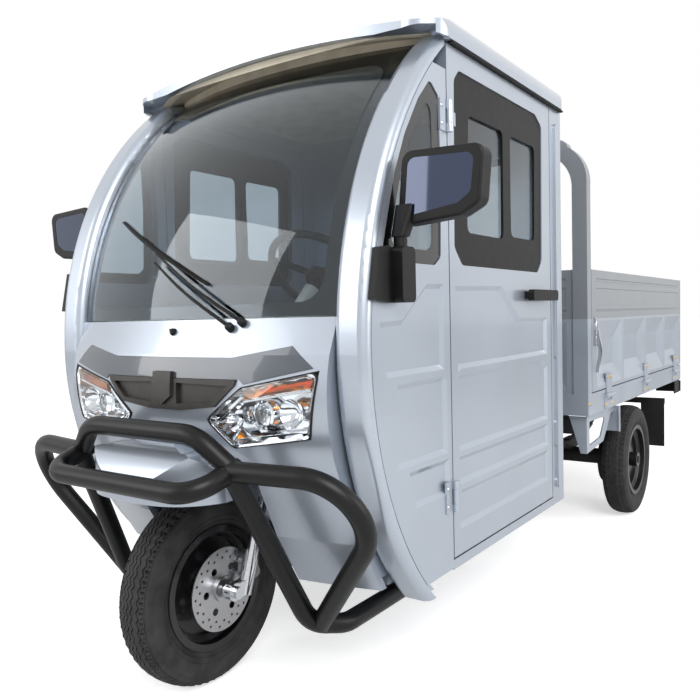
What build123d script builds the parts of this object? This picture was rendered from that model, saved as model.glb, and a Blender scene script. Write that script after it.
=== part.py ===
from build123d import *
import math
import os

# Millimetres. Inside this file x runs forward from the front axle, y to the left and z up from the ground.
# The last step moves every piece along x, so that the origin is under the middle of the overall length.

# Wheels
TYRE_OUTER = 525
TYRE_WIDTH = 112
BEAD_RADIUS = 156
WHEELBASE = 2290
REAR_WHEEL_Y = 540
AXLE_Z = TYRE_OUTER / 2
REAR_X = -WHEELBASE
RUN_FIT = 0.05
SEAT_GAP = 0.3

# Cab
CAB_HALF = 575
WALL = 35
PILLAR_WIDTH = 92
PILLAR_INNER = CAB_HALF - PILLAR_WIDTH
PILLAR_DEPTH = 60
PILLAR_SIDE = 26
PILLAR_ROUND = 22
SEAM = 2
DOOR_FRONT = -381
DOOR_REAR = -1150
DOOR_BOTTOM = 326
DOOR_TOP = 1711
DOOR_GAP = 5
CAB_REAR = -1268
REAR_WALL = 30
SILL_BOTTOM = 294
FLOOR_TOP = 321
SKIRT_BOTTOM = 1717
EAVE_HALF = CAB_HALF + 17
HEAD_Z = 1742
ROOF_SKIN = 24
ROOF_EDGE = 1738
ROOF_CROWN = 1846
PEAK_X = -372
ROOF_FRONT = -270
ROOF_REAR = -1290
FOOT_Z = 250

# Front curve of the cab, as (x, z) on the edge of the pillars: two arcs that share a tangent at the joint
CURVE_TOP = (-408, 1761)
CURVE_MIDDLE = (-62, 1345)
CURVE_JOINT = (35, 905)
CURVE_FOOT = (-252, 235)

# Upright axis that bows the windscreen and the nose in plan
BOW_X = -1900
SCREEN_BASE = 995
GLASS = 6
SCREEN_EDGE = 26
NOSE_WALL = 22
NOSE_RETURN = 18
NOSE_BOTTOM = 290
HUMP_REAR = -480
HUMP_HALF = 280
ARCH_HALF = 250
ARCH_TOP = 640

# Steering
RAKE = 20
STEM_X = -50
FORK_HALF = 106
LEG_RADIUS = 20
FRONT_AXLE_RADIUS = 10
STEM_RADIUS = 18
CROWN_UP = 345
HEAD_LOW = 372
HEAD_HIGH = 520
DISC_RADIUS = 112
DISC_Y = 68

# Bumper tube
TUBE_RADIUS = 25
BUMPER_X = 285
BUMPER_LOW_Z = 603
BUMPER_HIGH_Z = 722

# Bed
BED_FRONT = -1600
BED_REAR = -3400
BED_HALF = 575
BED_FLOOR_TOP = 650
BED_RAIL_BOTTOM = 562
BOARD = 30
BOARD_TOP = 1160
BOARD_GAP = 5
POST_WIDTH = 60
POST_DEPTH = 50
HOOP_TOP = 1686
TILT_X = -3300
TILT_Z = 540
TILT_SHAFT = 16
HINGE_Z = 622
HINGE_OUT = 9
PIN_RADIUS = 5
KNUCKLE_RADIUS = 9
PLATE = 8

# Bays of the boards: slanted walls round a sunk floor
BAY_LOW = 670
BAY_HIGH = 948
BAY_DEPTH = 20
BAY_RIB = 40
BAY_SLANT = 72
BAY_FOOT = 85
BAY_HEAD = 78
UPPER_PANELS = ((984, 996), (1004, 1086), (1110, 1126))

# Chassis
RAIL_HALF = 260
RAIL_WIDTH = 50
RAIL_TOP = 550
RAIL_HEIGHT = 80
LOW_RAIL_TOP = 288
NECK_X = -470
SPRING_REACH = 420
BRACKET_X = -1600
BRACKET_Y = 560
BRACKET_PLATE = 6
FLAP_X = -2856


def box(x0, x1, y0, y1, z0, z1):
    """Block between two corners."""
    middle = Pos((x0 + x1) / 2, (y0 + y1) / 2, (z0 + z1) / 2)
    return middle * Box(abs(x1 - x0), abs(y1 - y0), abs(z1 - z0))


def outline(steps, place):
    """Closed face: a step (a, b) is a straight run, and (a, b, c, d) an arc by way of (a, b) to (c, d)."""
    edges = []
    here = steps[0][-2:]
    for step in list(steps[1:]) + [steps[0]]:
        there = step[-2:]
        if len(step) == 4:
            edges.append(ThreePointArc(place(*here), place(*step[:2]), place(*there)))
        elif math.dist(here, there) > 1e-6:
            edges.append(Line(place(*here), place(*there)))
        here = there
    return make_face(Wire(edges))


def grown(points, gap):
    """Polygon moved out all round by a gap, or in by a negative one."""
    ahead = points[1:] + points[:1]
    turn = math.copysign(1, sum(a[0] * b[1] - b[0] * a[1] for a, b in zip(points, ahead)))
    normals = []
    for a, b in zip(points, ahead):
        length = math.dist(a, b)
        normals.append((turn * (b[1] - a[1]) / length, turn * (a[0] - b[0]) / length))
    moved = []
    for point, before, after in zip(points, normals[-1:] + normals[:-1], normals):
        share = gap / (1 + before[0] * after[0] + before[1] * after[1])
        moved.append((point[0] + share * (before[0] + after[0]), point[1] + share * (before[1] + after[1])))
    return moved


def prism_x(steps, x0, x1):
    """Outline in (y, z), carried from x0 to x1."""
    return extrude(outline(steps, lambda a, b: (x0, a, b)), amount=x1 - x0, dir=(1, 0, 0))


def prism_y(steps, y0, y1):
    """Outline in (x, z), carried from y0 to y1."""
    return extrude(outline(steps, lambda a, b: (a, y0, b)), amount=y1 - y0, dir=(0, 1, 0))


def prism_z(steps, z0, z1):
    """Outline in (x, y), carried from z0 to z1."""
    return extrude(outline(steps, lambda a, b: (a, b, z0)), amount=z1 - z0, dir=(0, 0, 1))


def rounded(points, radius, place):
    """Face with every corner of a polygon rounded."""
    path = FilletPolyline(*[place(*point) for point in points], radius=radius, close=True)
    return make_face(Wire(path.edges()))


def pane_y(points, radius, y0, y1):
    """Rounded polygon in (x, z), carried from y0 to y1."""
    return extrude(rounded(points, radius, lambda a, b: (a, y0, b)), amount=y1 - y0, dir=(0, 1, 0))


def pane_x(points, radius, x0, x1):
    """Rounded polygon in (y, z), carried from x0 to x1."""
    return extrude(rounded(points, radius, lambda a, b: (x0, a, b)), amount=x1 - x0, dir=(1, 0, 0))


def rod(start, end, radius):
    """Round bar between two points."""
    start = Vector(*start)
    run = Vector(*end) - start
    base = Plane(origin=start, z_dir=run)
    return extrude(base * Circle(radius), amount=run.length)


def ring(start, end, radius, bore):
    """Round bar with a bore right through."""
    return rod(start, end, radius) - rod(start, end, bore)


def pipe(points, bends, radius):
    """Round tube, modelled solid, along straight runs joined by arcs."""
    path = FilletPolyline(*points, radius=bends)
    base = Plane(origin=path @ 0, z_dir=path % 0)
    return sweep(base * Circle(radius), path=path)


def turned_y(steps, x, z):
    """Outline in (radius, y), turned about a cross axis at (x, z)."""
    face = outline(steps, lambda a, b: (a, b, 0))
    return Pos(x, 0, z) * revolve(face, Axis.Y, revolution_arc=360)


def swung(steps, axis_x=BOW_X, spread=24):
    """Centre-line outline in (x, z), turned both ways about an upright axis, so that it bows in plan."""
    face = outline(steps, lambda a, b: (a - axis_x, 0, b))
    return Pos(axis_x, 0, 0) * Rot(0, 0, -spread) * revolve(face, Axis.Z, revolution_arc=2 * spread)


def flip(shape):
    """The same on the other side."""
    return mirror(shape, about=Plane.XZ)


def both(shape):
    return shape + flip(shape)


def pocket_y(points, bevel, depth, y):
    """Pressing into a side wall at y: the outline in (x, z) on the face, closer in by the bevel at its floor."""
    face = outline(points, lambda a, b: (a, y, b))
    floor = outline(grown(points, -bevel), lambda a, b: (a, y - depth, b))
    return loft([face, floor], ruled=True)


def tray(face, floor, place):
    """Tray between an outline on a face and one on its floor, each with its own depth."""
    faces = [outline(points, lambda a, b, depth=depth: place(a, b, depth)) for points, depth in (face, floor)]
    return loft(faces, ruled=True)


def circle_through(p, q, r):
    """Centre and radius of the circle through three points."""
    ax, az, bx, bz = q[0] - p[0], q[1] - p[1], r[0] - p[0], r[1] - p[1]
    a, b = (ax * ax + az * az) / 2, (bx * bx + bz * bz) / 2
    cross = ax * bz - az * bx
    u, v = (a * bz - b * az) / cross, (ax * b - bx * a) / cross
    return p[0] + u, p[1] + v, math.hypot(u, v)


UPPER = circle_through(CURVE_TOP, CURVE_MIDDLE, CURVE_JOINT)


def tangent_circle(joint, above, foot):
    """Circle that shares its tangent with another at a joint, and passes a foot."""
    nx, nz = (above[0] - joint[0]) / above[2], (above[1] - joint[1]) / above[2]
    dx, dz = foot[0] - joint[0], foot[1] - joint[1]
    radius = (dx * dx + dz * dz) / 2 / (dx * nx + dz * nz)
    return joint[0] + radius * nx, joint[1] + radius * nz, radius


LOWER = tangent_circle(CURVE_JOINT, UPPER, CURVE_FOOT)


def curve_x(z, inset=0):
    """Front curve of the cab at height z, or a curve parallel to it by an inset."""
    cx, cz, radius = UPPER if z >= joint_z(inset) else LOWER
    return cx + math.sqrt((radius - inset) ** 2 - (z - cz) ** 2)


def joint_z(inset=0):
    """Height at which the two arcs of the parallel curve meet."""
    return CURVE_JOINT[1] + inset * (UPPER[1] - CURVE_JOINT[1]) / UPPER[2]


def joint_point(inset=0):
    """Where the two arcs of the parallel curve meet."""
    share = inset / UPPER[2]
    return (CURVE_JOINT[0] + share * (UPPER[0] - CURVE_JOINT[0]), joint_z(inset))


def curve_steps(top, foot, inset=0, down=True):
    """Steps along the front curve, between two heights."""
    joint = joint_point(inset)
    high, low = (top + joint[1]) / 2, (foot + joint[1]) / 2
    via_high, via_low = (curve_x(high, inset), high), (curve_x(low, inset), low)
    ends = (curve_x(top, inset), top), (curve_x(foot, inset), foot)
    if down:
        return [ends[0], (*via_high, *joint), (*via_low, *ends[1])]
    return [ends[1], (*via_low, *joint), (*via_high, *ends[0])]


def bowed_x(edge_x, edge_y, y=0):
    """x on a bowed surface at y, where it passes (edge_x, edge_y)."""
    radius = math.hypot(edge_x - BOW_X, edge_y)
    return BOW_X + math.sqrt(radius * radius - y * y)


def along_stem(up, out=0):
    """Point on the steering axis, a distance up it from axle height, at y = out."""
    lean = math.radians(RAKE)
    return (STEM_X - up * math.sin(lean), out, AXLE_Z + up * math.cos(lean))


def hinge(first, second, length, leaf_fixed, leaf_moving):
    """Pin and end knuckles with a fixed leaf, and the middle knuckle with a moving leaf, about one axis."""
    start, end = Vector(*first), Vector(*second)
    step = (end - start).normalized()
    a, b = start + step * length, end - step * length
    gap = step * 0.5
    pin = rod(start, end, PIN_RADIUS)
    fixed = pin + rod(start, a, KNUCKLE_RADIUS) + rod(b, end, KNUCKLE_RADIUS) + leaf_fixed
    moving = ring(a + gap, b - gap, KNUCKLE_RADIUS, PIN_RADIUS + RUN_FIT) + leaf_moving
    return fixed, moving


# Wheels

def tyre(y):
    """Round-shouldered tyre, as a ring on its rim."""
    half = TYRE_WIDTH / 2
    radius = TYRE_OUTER / 2
    bead = half - 14
    shoulder = half - 9
    heel = BEAD_RADIUS + 14
    side = [(BEAD_RADIUS, -bead), (BEAD_RADIUS, bead), (heel, bead), (208, half, radius - 13, shoulder)]
    crown = [(radius, 0, radius - 13, -shoulder), (208, -half, heel, -bead)]
    return Pos(0, y, 0) * turned_y(side + crown, 0, AXLE_Z)


def rim(y, hub_radius, hub_half, bore, dish_y):
    """Steel rim with two flanges and a drop centre, its dished disc and its hub."""
    bead = TYRE_WIDTH / 2 - 14
    seat = BEAD_RADIUS - SEAT_GAP
    lip = bead + SEAT_GAP
    band = turned_y(
        [
            (seat, -bead + 12), (seat, -lip), (168, -lip), (168, -lip - 5), (seat - 6, -lip - 5),
            (seat - 6, -24), (132, -14), (132, 14), (seat - 6, 24), (seat - 6, lip + 5), (168, lip + 5),
            (168, lip), (seat, lip), (seat, bead - 12), (138, 14), (138, -14),
        ],
        0,
        AXLE_Z,
    )
    disc = turned_y([(30, dish_y), (80, dish_y), (134, 3), (134, -3), (80, dish_y - 6), (30, dish_y - 6)], 0, AXLE_Z)
    hub = ring((0, -hub_half, AXLE_Z), (0, hub_half, AXLE_Z), hub_radius, bore)
    hub += ring((0, dish_y - 6, AXLE_Z), (0, dish_y + 6, AXLE_Z), 62, bore)
    return Pos(0, y, 0) * (band + disc + hub)


def front_rim():
    return rim(0, 36, 64, FRONT_AXLE_RADIUS + RUN_FIT, 3)


def brake_disc():
    """Drilled disc with a waisted carrier, on the left end of the hub."""
    low, high = DISC_Y - 2, DISC_Y + 2
    disc = ring((0, low, AXLE_Z), (0, high, AXLE_Z), DISC_RADIUS, 24)
    for turn in range(18):
        for reach, shift in ((100, 0), (86, 10)):
            angle = math.radians(20 * turn + shift)
            x, z = reach * math.cos(angle), AXLE_Z + reach * math.sin(angle)
            disc -= rod((x, low - 1, z), (x, high + 1, z), 3.5)
    for turn in range(6):
        angle = math.radians(60 * turn)
        x, z = 62 * math.cos(angle), AXLE_Z + 62 * math.sin(angle)
        disc -= rod((x, low - 1, z), (x, high + 1, z), 10)
    carrier = ring((0, 64, AXLE_Z), (0, low, AXLE_Z), 40, FRONT_AXLE_RADIUS + RUN_FIT)
    cap = ring((0, high, AXLE_Z), (0, high + 7, AXLE_Z), 34, FRONT_AXLE_RADIUS + RUN_FIT)
    centre = ring((0, low, AXLE_Z), (0, high, AXLE_Z), 24, FRONT_AXLE_RADIUS + RUN_FIT)
    return disc + carrier + centre + cap


def front_fork():
    """Crown, stem, two telescopic legs with axle lugs, and the wheel spindle."""
    fork = rod(along_stem(CROWN_UP - 16), along_stem(CROWN_UP + 16), 34)
    bridge = Plane(origin=along_stem(CROWN_UP), z_dir=Vector(*along_stem(1)) - Vector(*along_stem(0)))
    fork += extrude(bridge * RectangleRounded(64, 2 * FORK_HALF + 56, 28), amount=14, both=True)
    fork += rod(along_stem(CROWN_UP), along_stem(HEAD_HIGH + 22), STEM_RADIUS)
    for side in (1, -1):
        out = side * FORK_HALF
        fork += rod(along_stem(150, out), along_stem(CROWN_UP + 22, out), 15)
        fork += rod(along_stem(-22, out), along_stem(178, out), LEG_RADIUS)
        inner, outer = side * (FORK_HALF - 14), side * (FORK_HALF + 12)
        lug = rod((0, inner, AXLE_Z), (0, outer, AXLE_Z), 24)
        lug += box(STEM_X, 0, inner, outer, AXLE_Z - 20, AXLE_Z + 20)
        fork += lug
        fork += rod((0, outer, AXLE_Z), (0, outer + side * 14, AXLE_Z), 16)
        collar = side * (80 if side > 0 else 68)
        fork += rod((0, collar, AXLE_Z), (0, inner, AXLE_Z), 14)
    return fork + rod((0, -FORK_HALF, AXLE_Z), (0, FORK_HALF, AXLE_Z), FRONT_AXLE_RADIUS)


def brake_caliper():
    """Caliper that straddles the disc behind the left leg."""
    angle = math.radians(158)
    x, z = 100 * math.cos(angle), AXLE_Z + 100 * math.sin(angle)
    body = Pos(x, 0, z) * Rot(0, -158, 0) * Box(52, 34, 84)
    body = Pos(0, DISC_Y + 2, 0) * body
    body = fillet(body.edges().filter_by(Axis.Y), 10)
    slot = rod((0, DISC_Y - 3.5, AXLE_Z), (0, DISC_Y + 3.5, AXLE_Z), DISC_RADIUS + 3)
    bracket = box(x - 4, x + 44, DISC_Y + 12, FORK_HALF - LEG_RADIUS + 2, z - 6, z + 20)
    leg = rod(along_stem(-22, FORK_HALF), along_stem(178, FORK_HALF), LEG_RADIUS + SEAT_GAP)
    return body - slot + bracket - leg


def front_fender():
    """Beak of the nose over the wheel: plan, side and front outlines in one shell."""
    def shape(inset, drop):
        half = 228 - inset
        tip = 256 - inset
        low = 550 - drop
        plan = prism_z([(20, -half), (188 - inset, -half + 30, tip - 6, -80), (tip, 0, tip - 6, 80),
                        (188 - inset, half - 30, 20, half)], 400, 800)
        crown = 690 - inset
        side = prism_y([(20, low), (280, low), (280, 560), (tip, 560), (234 - inset, 640 - inset / 2, 165, crown - 6),
                        (20, crown + 20)], -260, 260)
        front = prism_x([(-half, 400), (half, 400), (half, 590), (half - 22, 648, half - 84, 672 - inset),
                         (0, crown, -half + 84, 672 - inset), (-half + 22, 648, -half, 590)], 0, 300)
        return plan & side & front
    shell = shape(0, 0) - shape(12, 40)
    keep = box(112, 300, -260, 260, 500, 760)
    return shell & keep


# Chassis

def chassis_frame():
    """Two box rails that step down under the cab, with spring hangers and the pins of the bed's hinge."""
    inner, outer = RAIL_HALF - RAIL_WIDTH / 2, RAIL_HALF + RAIL_WIDTH / 2
    low = LOW_RAIL_TOP - RAIL_HEIGHT
    side = [
        (-3330, RAIL_TOP - RAIL_HEIGHT), (-3330, RAIL_TOP), (-1440, RAIL_TOP), (-1310, LOW_RAIL_TOP),
        (NECK_X, LOW_RAIL_TOP), (NECK_X, low), (-1330, low), (-1480, RAIL_TOP - RAIL_HEIGHT),
    ]
    rail = prism_y(side, inner, outer)
    rail += rod((TILT_X, outer - 5, TILT_Z), (TILT_X, outer + 110, TILT_Z), TILT_SHAFT)
    for reach in (-SPRING_REACH, SPRING_REACH):
        x = REAR_X + reach
        rail += box(x - 22, x + 22, inner - 6, inner, 398, RAIL_TOP - RAIL_HEIGHT + 20)
        rail += box(x - 22, x + 22, outer, outer + 6, 398, RAIL_TOP - RAIL_HEIGHT + 20)
    return both(rail)


def cross_members():
    """Cross members between the rails, outriggers for the side brackets and the foot of the lift cylinder."""
    inner, outer = RAIL_HALF - RAIL_WIDTH / 2, RAIL_HALF + RAIL_WIDTH / 2
    low = LOW_RAIL_TOP - RAIL_HEIGHT
    members = None
    for x in (-3290, -2780, -1850, -1560):
        member = box(x - 25, x + 25, -inner, inner, RAIL_TOP - RAIL_HEIGHT + 22, RAIL_TOP - 10)
        members = member if members is None else members + member
    for x in (-1220, -760):
        members += box(x - 25, x + 25, -inner, inner, low, LOW_RAIL_TOP)
    for x, foot in ((BRACKET_X - 26, 480), (BRACKET_X - 260, 530)):
        members += both(box(x - 20, x + 20, outer, BRACKET_Y - BRACKET_PLATE, foot, RAIL_TOP))
    for y in (-36, 26):
        members += prism_y([(-1880, 470), (-1880, 420), (-1900, 402), (-1930, 402), (-1950, 420), (-1875, 530),
                            (-1850, 530)], y, y + 10)
    return members


def front_neck():
    """Front cross member with the bent neck tube that carries the steering head."""
    low = LOW_RAIL_TOP - RAIL_HEIGHT
    neck = box(NECK_X, NECK_X + 50, -430, 430, low - 28, LOW_RAIL_TOP)
    neck += pipe([(NECK_X + 25, 0, low + 20), (-418, 0, 430), (-222, 0, 702)], 150, 24)
    neck += box(-310, -205, -12, 12, 610, 690)
    neck += rod(along_stem(HEAD_LOW), along_stem(HEAD_HIGH), 32)
    return neck - rod(along_stem(HEAD_LOW - 40), along_stem(HEAD_HIGH + 40), STEM_RADIUS + RUN_FIT)


def side_brackets():
    """Silver plates under the front of the bed: a windowed side, a tapered front, and a channel before the wheel."""
    top, out = BED_RAIL_BOTTOM - 6, BRACKET_Y
    inner = out - BRACKET_PLATE
    side = prism_y([(BRACKET_X, top), (BRACKET_X - 378, top), (BRACKET_X - 232, 422), (BRACKET_X, 403)], inner, out)
    window = [(BRACKET_X - 36, 532), (BRACKET_X - 262, 526), (BRACKET_X - 190, 446), (BRACKET_X - 36, 432)]
    side -= pane_y(window, 12, inner - 5, out + 5)
    front = [(out - 73, top), (out, top), (out, 403), (out - 26, 403)]
    side += prism_x(front, BRACKET_X - BRACKET_PLATE, BRACKET_X)
    stay = BRACKET_X - 416
    side += box(stay, stay + 5, out - 40, out + 24, 440, top)
    side += box(stay, stay + 18, out - 40, out - 35, 440, top) + box(stay, stay + 18, out + 19, out + 24, 440, top)
    side += box(stay, BRACKET_X - 340, inner, out, top - 26, top)
    return both(side)


def rear_axle():
    """Axle tube with its final drive casing, brake back plates and the two stub shafts."""
    plate, end = REAR_WHEEL_Y - 107, REAR_WHEEL_Y + 57
    half = [(104, 60), (62, 96), (38, 110), (38, plate - 6), (118, plate), (118, plate + 32), (60, plate + 36),
            (60, plate + 46), (17, plate + 46), (17, end)]
    steps = [(0, -end)] + [(r, -y) for r, y in reversed(half)] + [(110, 0)] + half + [(0, end)]
    return turned_y(steps, REAR_X, AXLE_Z)


def drive_motor():
    """Plain block of the traction motor, in front of the final drive."""
    return rod((REAR_X + 112, 0, AXLE_Z + 12), (REAR_X + 340, 0, AXLE_Z + 12), 92)


def leaf_springs():
    """Two packs of leaves over the axle, with eyes in the hangers and a saddle block."""
    inner, outer = RAIL_HALF - RAIL_WIDTH / 2 + 1, RAIL_HALF + RAIL_WIDTH / 2 - 1
    pack = None
    for index, (reach, drop) in enumerate(((SPRING_REACH, 96), (310, 52), (220, 26), (130, 9))):
        top = 338 - 9 * index
        low = top - 9
        leaf = prism_y([(REAR_X - reach, low + drop), (REAR_X, low, REAR_X + reach, low + drop),
                        (REAR_X + reach, top + drop), (REAR_X, top, REAR_X - reach, top + drop)], inner, outer)
        pack = leaf if pack is None else pack + leaf
    for reach in (-SPRING_REACH, SPRING_REACH):
        pack += rod((REAR_X + reach, inner, 425), (REAR_X + reach, outer, 425), 16)
    pack += box(REAR_X - 60, REAR_X + 60, inner, outer, 296, 345)
    pack -= rod((REAR_X, inner - 5, AXLE_Z), (REAR_X, outer + 5, AXLE_Z), 38 + SEAT_GAP)
    return both(pack)


# Cab shell

def cab_floor():
    """Floor pan with side sills, a hump over the wheel and two foot wells."""
    floor = box(CAB_REAR, DOOR_FRONT + DOOR_GAP, -CAB_HALF, CAB_HALF, SILL_BOTTOM, FLOOR_TOP)
    floor -= box(HUMP_REAR, 0, -HUMP_HALF, HUMP_HALF, SILL_BOTTOM - 5, FLOOR_TOP + 5)
    inner = CAB_HALF - WALL - 2
    floor += both(box(DOOR_FRONT + DOOR_GAP, -186, HUMP_HALF, inner, SILL_BOTTOM, FLOOR_TOP))
    pillar_back = curve_x(SILL_BOTTOM, PILLAR_DEPTH + SEAM)
    floor -= both(box(pillar_back, 0, PILLAR_INNER - SEAM, CAB_HALF, SILL_BOTTOM - 5, FLOOR_TOP + 5))
    wall = 10
    hump = [(HUMP_REAR, SILL_BOTTOM), (HUMP_REAR, 560), (-300, 800), (-60, 800), (-60, 800 + wall),
            (-304, 800 + wall), (HUMP_REAR - wall, 566), (HUMP_REAR - wall, SILL_BOTTOM)]
    floor += prism_y(hump, -HUMP_HALF - wall, HUMP_HALF + wall)
    cheek = [(HUMP_REAR - wall, SILL_BOTTOM), (HUMP_REAR - wall, 566), (-304, 810), (-60, 810), (-60, 560),
             (-150, 400), (-186, SILL_BOTTOM)]
    floor += both(prism_y(cheek, HUMP_HALF, HUMP_HALF + wall))
    floor -= rod(along_stem(HEAD_HIGH), along_stem(HEAD_HIGH + 180), 44)
    return floor


def arch_pillars():
    """Two arched pillars that run from the foot of the cab to the roof."""
    front = curve_steps(HEAD_Z, FOOT_Z, 0)
    back = curve_steps(HEAD_Z, FOOT_Z, PILLAR_DEPTH, down=False)
    side = curve_steps(HEAD_Z, FOOT_Z, PILLAR_SIDE, down=False)
    inner = CAB_HALF - WALL
    arch = prism_y(front + back, PILLAR_INNER, inner) + prism_y(front + side, inner, CAB_HALF)
    arch -= box(DOOR_FRONT + DOOR_GAP - 200, DOOR_FRONT + DOOR_GAP + SEAM, inner - 5, CAB_HALF + 5, 1500, HEAD_Z + 5)
    arch -= box(DOOR_FRONT + DOOR_GAP - 200, DOOR_FRONT + DOOR_GAP + SEAM, PILLAR_INNER - 5, inner, 1500, DOOR_TOP + 6)
    for y, radius in ((CAB_HALF, PILLAR_ROUND), (PILLAR_INNER, SCREEN_EDGE)):
        arch = fillet(front_edges(arch, y), radius)
    return both(arch)


def front_edges(arch, y):
    """The pillar's two long front edges at y."""
    found = []
    for edge in arch.edges().filter_by(GeomType.CIRCLE):
        if abs(edge.center().Y - y) < 0.1 and min(abs(edge.radius - r) for r in (UPPER[2], LOWER[2])) < 0.1:
            found.append(edge)
    return found


def quarter_panels():
    """Side panels between pillar and door, each with its window cut and its pressings."""
    inset = PILLAR_SIDE + SEAM
    rear = DOOR_FRONT + DOOR_GAP
    steps = curve_steps(1640, SILL_BOTTOM + 4, inset)
    panel = prism_y(steps + [(rear, SILL_BOTTOM + 4), (rear, 1640)], CAB_HALF - WALL, CAB_HALF)
    panel -= pane_y(QUARTER_WINDOW, 18, CAB_HALF - WALL - 5, CAB_HALF + 5)
    for points in QUARTER_PRESSINGS:
        panel -= pocket_y(points, PRESSING_BEVEL, PRESSING_DEPTH, CAB_HALF)
    for low, high in DOOR_HINGES:
        fixed, _ = door_hinge(low, high)
        panel += fixed
    return both(panel)


QUARTER_WINDOW = [(-331, 1142), (-339, 1349), (-334, 1560), (-288, 1592), (-226, 1530), (-158, 1432), (-108, 1332),
                  (-72, 1225), (-48, 1150), (-78, 1120), (-298, 1120)]
QUARTER_PRESSINGS = [
    [(-345, 1073), (-254, 1071), (-131, 981), (-30, 977), (-22, 891), (-58, 846), (-340, 846)],
    [(-352, 816), (-338, 828), (-104, 826), (-66, 780), (-100, 620), (-352, 620)],
    [(-362, 604), (-150, 604), (-178, 509), (-359, 509)],
]
DOOR_HINGES = ((456, 541), (1475, 1557))
PRESSING_DEPTH = 9
PRESSING_BEVEL = 13
HINGE_X = DOOR_FRONT + 3
HINGE_Y = CAB_HALF + HINGE_OUT


def door_hinge(low, high):
    """One hinge of the left door: the fixed leaf on the quarter panel, and the moving leaf on the door."""
    fixed = box(HINGE_X, HINGE_X + 44, CAB_HALF - 2, CAB_HALF + 4, low, low + 22)
    fixed += box(HINGE_X, HINGE_X + 44, CAB_HALF - 2, CAB_HALF + 4, high - 22, high)
    fixed += box(HINGE_X + 12, HINGE_X + 44, CAB_HALF - 2, CAB_HALF + 4, low, high)
    moving = box(HINGE_X - 44, HINGE_X, CAB_HALF - 2, CAB_HALF + 4, low + 23, high - 23)
    clear = rod((HINGE_X, HINGE_Y, low), (HINGE_X, HINGE_Y, high), PIN_RADIUS + RUN_FIT)
    return hinge((HINGE_X, HINGE_Y, low), (HINGE_X, HINGE_Y, high), 22, fixed, moving - clear)


DOOR_WINDOW = [(-453, 1656), (-423, 1625), (-411, 1173), (-457, 1126), (-1028, 1126), (-1067, 1166), (-1078, 1627),
               (-1020, 1657)]
DOOR_LIGHTS = (
    [(-516, 1550), (-500, 1220), (-752, 1220), (-756, 1550)],
    [(-812, 1547), (-812, 1232), (-1010, 1232), (-1020, 1547)],
)
DOOR_PRESSINGS = [
    [(-412, 1068), (-726, 1074), (-857, 975), (-1112, 971), (-1112, 844), (-443, 840), (-421, 832)],
    [(-421, 816), (-443, 825), (-1059, 829), (-1112, 800), (-1112, 612), (-421, 612)],
    [(-421, 597), (-1112, 597), (-1112, 519), (-421, 519)],
    [(-421, 503), (-1112, 503), (-1112, 396), (-421, 396)],
]


def door():
    """Left door: pressed outer skin with its window cut, and the moving hinge leaves."""
    panel = box(DOOR_REAR, DOOR_FRONT, CAB_HALF - WALL, CAB_HALF, DOOR_BOTTOM, DOOR_TOP)
    panel -= pane_y(DOOR_WINDOW, 26, CAB_HALF - WALL - 5, CAB_HALF + 5)
    for points in DOOR_PRESSINGS:
        panel -= pocket_y(points, PRESSING_BEVEL, PRESSING_DEPTH, CAB_HALF)
    for low, high in DOOR_HINGES:
        _, moving = door_hinge(low, high)
        panel += moving
    return panel


def door_handle():
    """Pull handle of the left door on its two feet."""
    grip = pane_y([(-900, 1030), (-900, 1066), (-1130, 1066), (-1130, 1030)], 12, CAB_HALF + 16, CAB_HALF + 36)
    grip += box(-934, -908, CAB_HALF, CAB_HALF + 20, 1036, 1060)
    grip += box(-1112, -1076, CAB_HALF, CAB_HALF + 20, 1034, 1062)
    return grip


def window_frame():
    """Black frame of the left door's window, with its two openings."""
    frame = pane_y(grown(DOOR_WINDOW, -SEAT_GAP), 26, CAB_HALF - 12, CAB_HALF - 4)
    for points in DOOR_LIGHTS:
        frame -= pane_y(points, 22, CAB_HALF - 20, CAB_HALF + 5)
    return frame


def door_glass():
    """Two sliding panes, behind the frame's openings."""
    panes = None
    for points, depth in zip(DOOR_LIGHTS, (18, 18)):
        pane = pane_y(grown(points, 14), 22, CAB_HALF - depth, CAB_HALF - 12)
        panes = pane if panes is None else panes + pane
    return panes


def quarter_glass():
    pane = pane_y(grown(QUARTER_WINDOW, -SEAT_GAP), 18, CAB_HALF - 12, CAB_HALF - 5)
    return both(pane)


def screen_mid(z, inset=0):
    """x of the windscreen on the centre line at height z."""
    return bowed_x(curve_x(z, SCREEN_EDGE + inset), PILLAR_INNER)


def windscreen():
    """Bowed screen between the pillars."""
    top, low = HEAD_Z, SCREEN_BASE
    mid = (top + low) / 2
    steps = [(screen_mid(low), low), (screen_mid(mid), mid, screen_mid(top), top),
             (screen_mid(top, GLASS), top), (screen_mid(mid, GLASS), mid, screen_mid(low, GLASS), low)]
    return swung(steps) & box(-600, 200, -PILLAR_INNER, PILLAR_INNER, low, top)


# Centre line of the nose, as (x, z): cowl, band, lamp line, shin and toe
NOSE_TOP = (68, SCREEN_BASE - 2)
NOSE_BAND = (104, 905)
NOSE_FACE = (118, 800)
NOSE_CHIN = (66, 590)
NOSE_SHIN = (-5, 430)
NOSE_TOE = (-88, NOSE_BOTTOM)


def nose_shell(outer, inner):
    """Part of the bowed nose between two depths behind its face."""
    def line(depth):
        x = [p[0] - depth for p in (NOSE_TOP, NOSE_BAND, NOSE_FACE, NOSE_CHIN, NOSE_SHIN, NOSE_TOE)]
        z = [p[1] for p in (NOSE_TOP, NOSE_BAND, NOSE_FACE, NOSE_CHIN, NOSE_SHIN, NOSE_TOE)]
        return list(zip(x, z))
    a, b = line(outer), line(inner)
    steps = [a[0], a[1], (*a[2], *a[3]), a[4], a[5], b[5], b[4], b[3], (*b[2], *b[1]), b[0]]
    return swung(steps)


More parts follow.
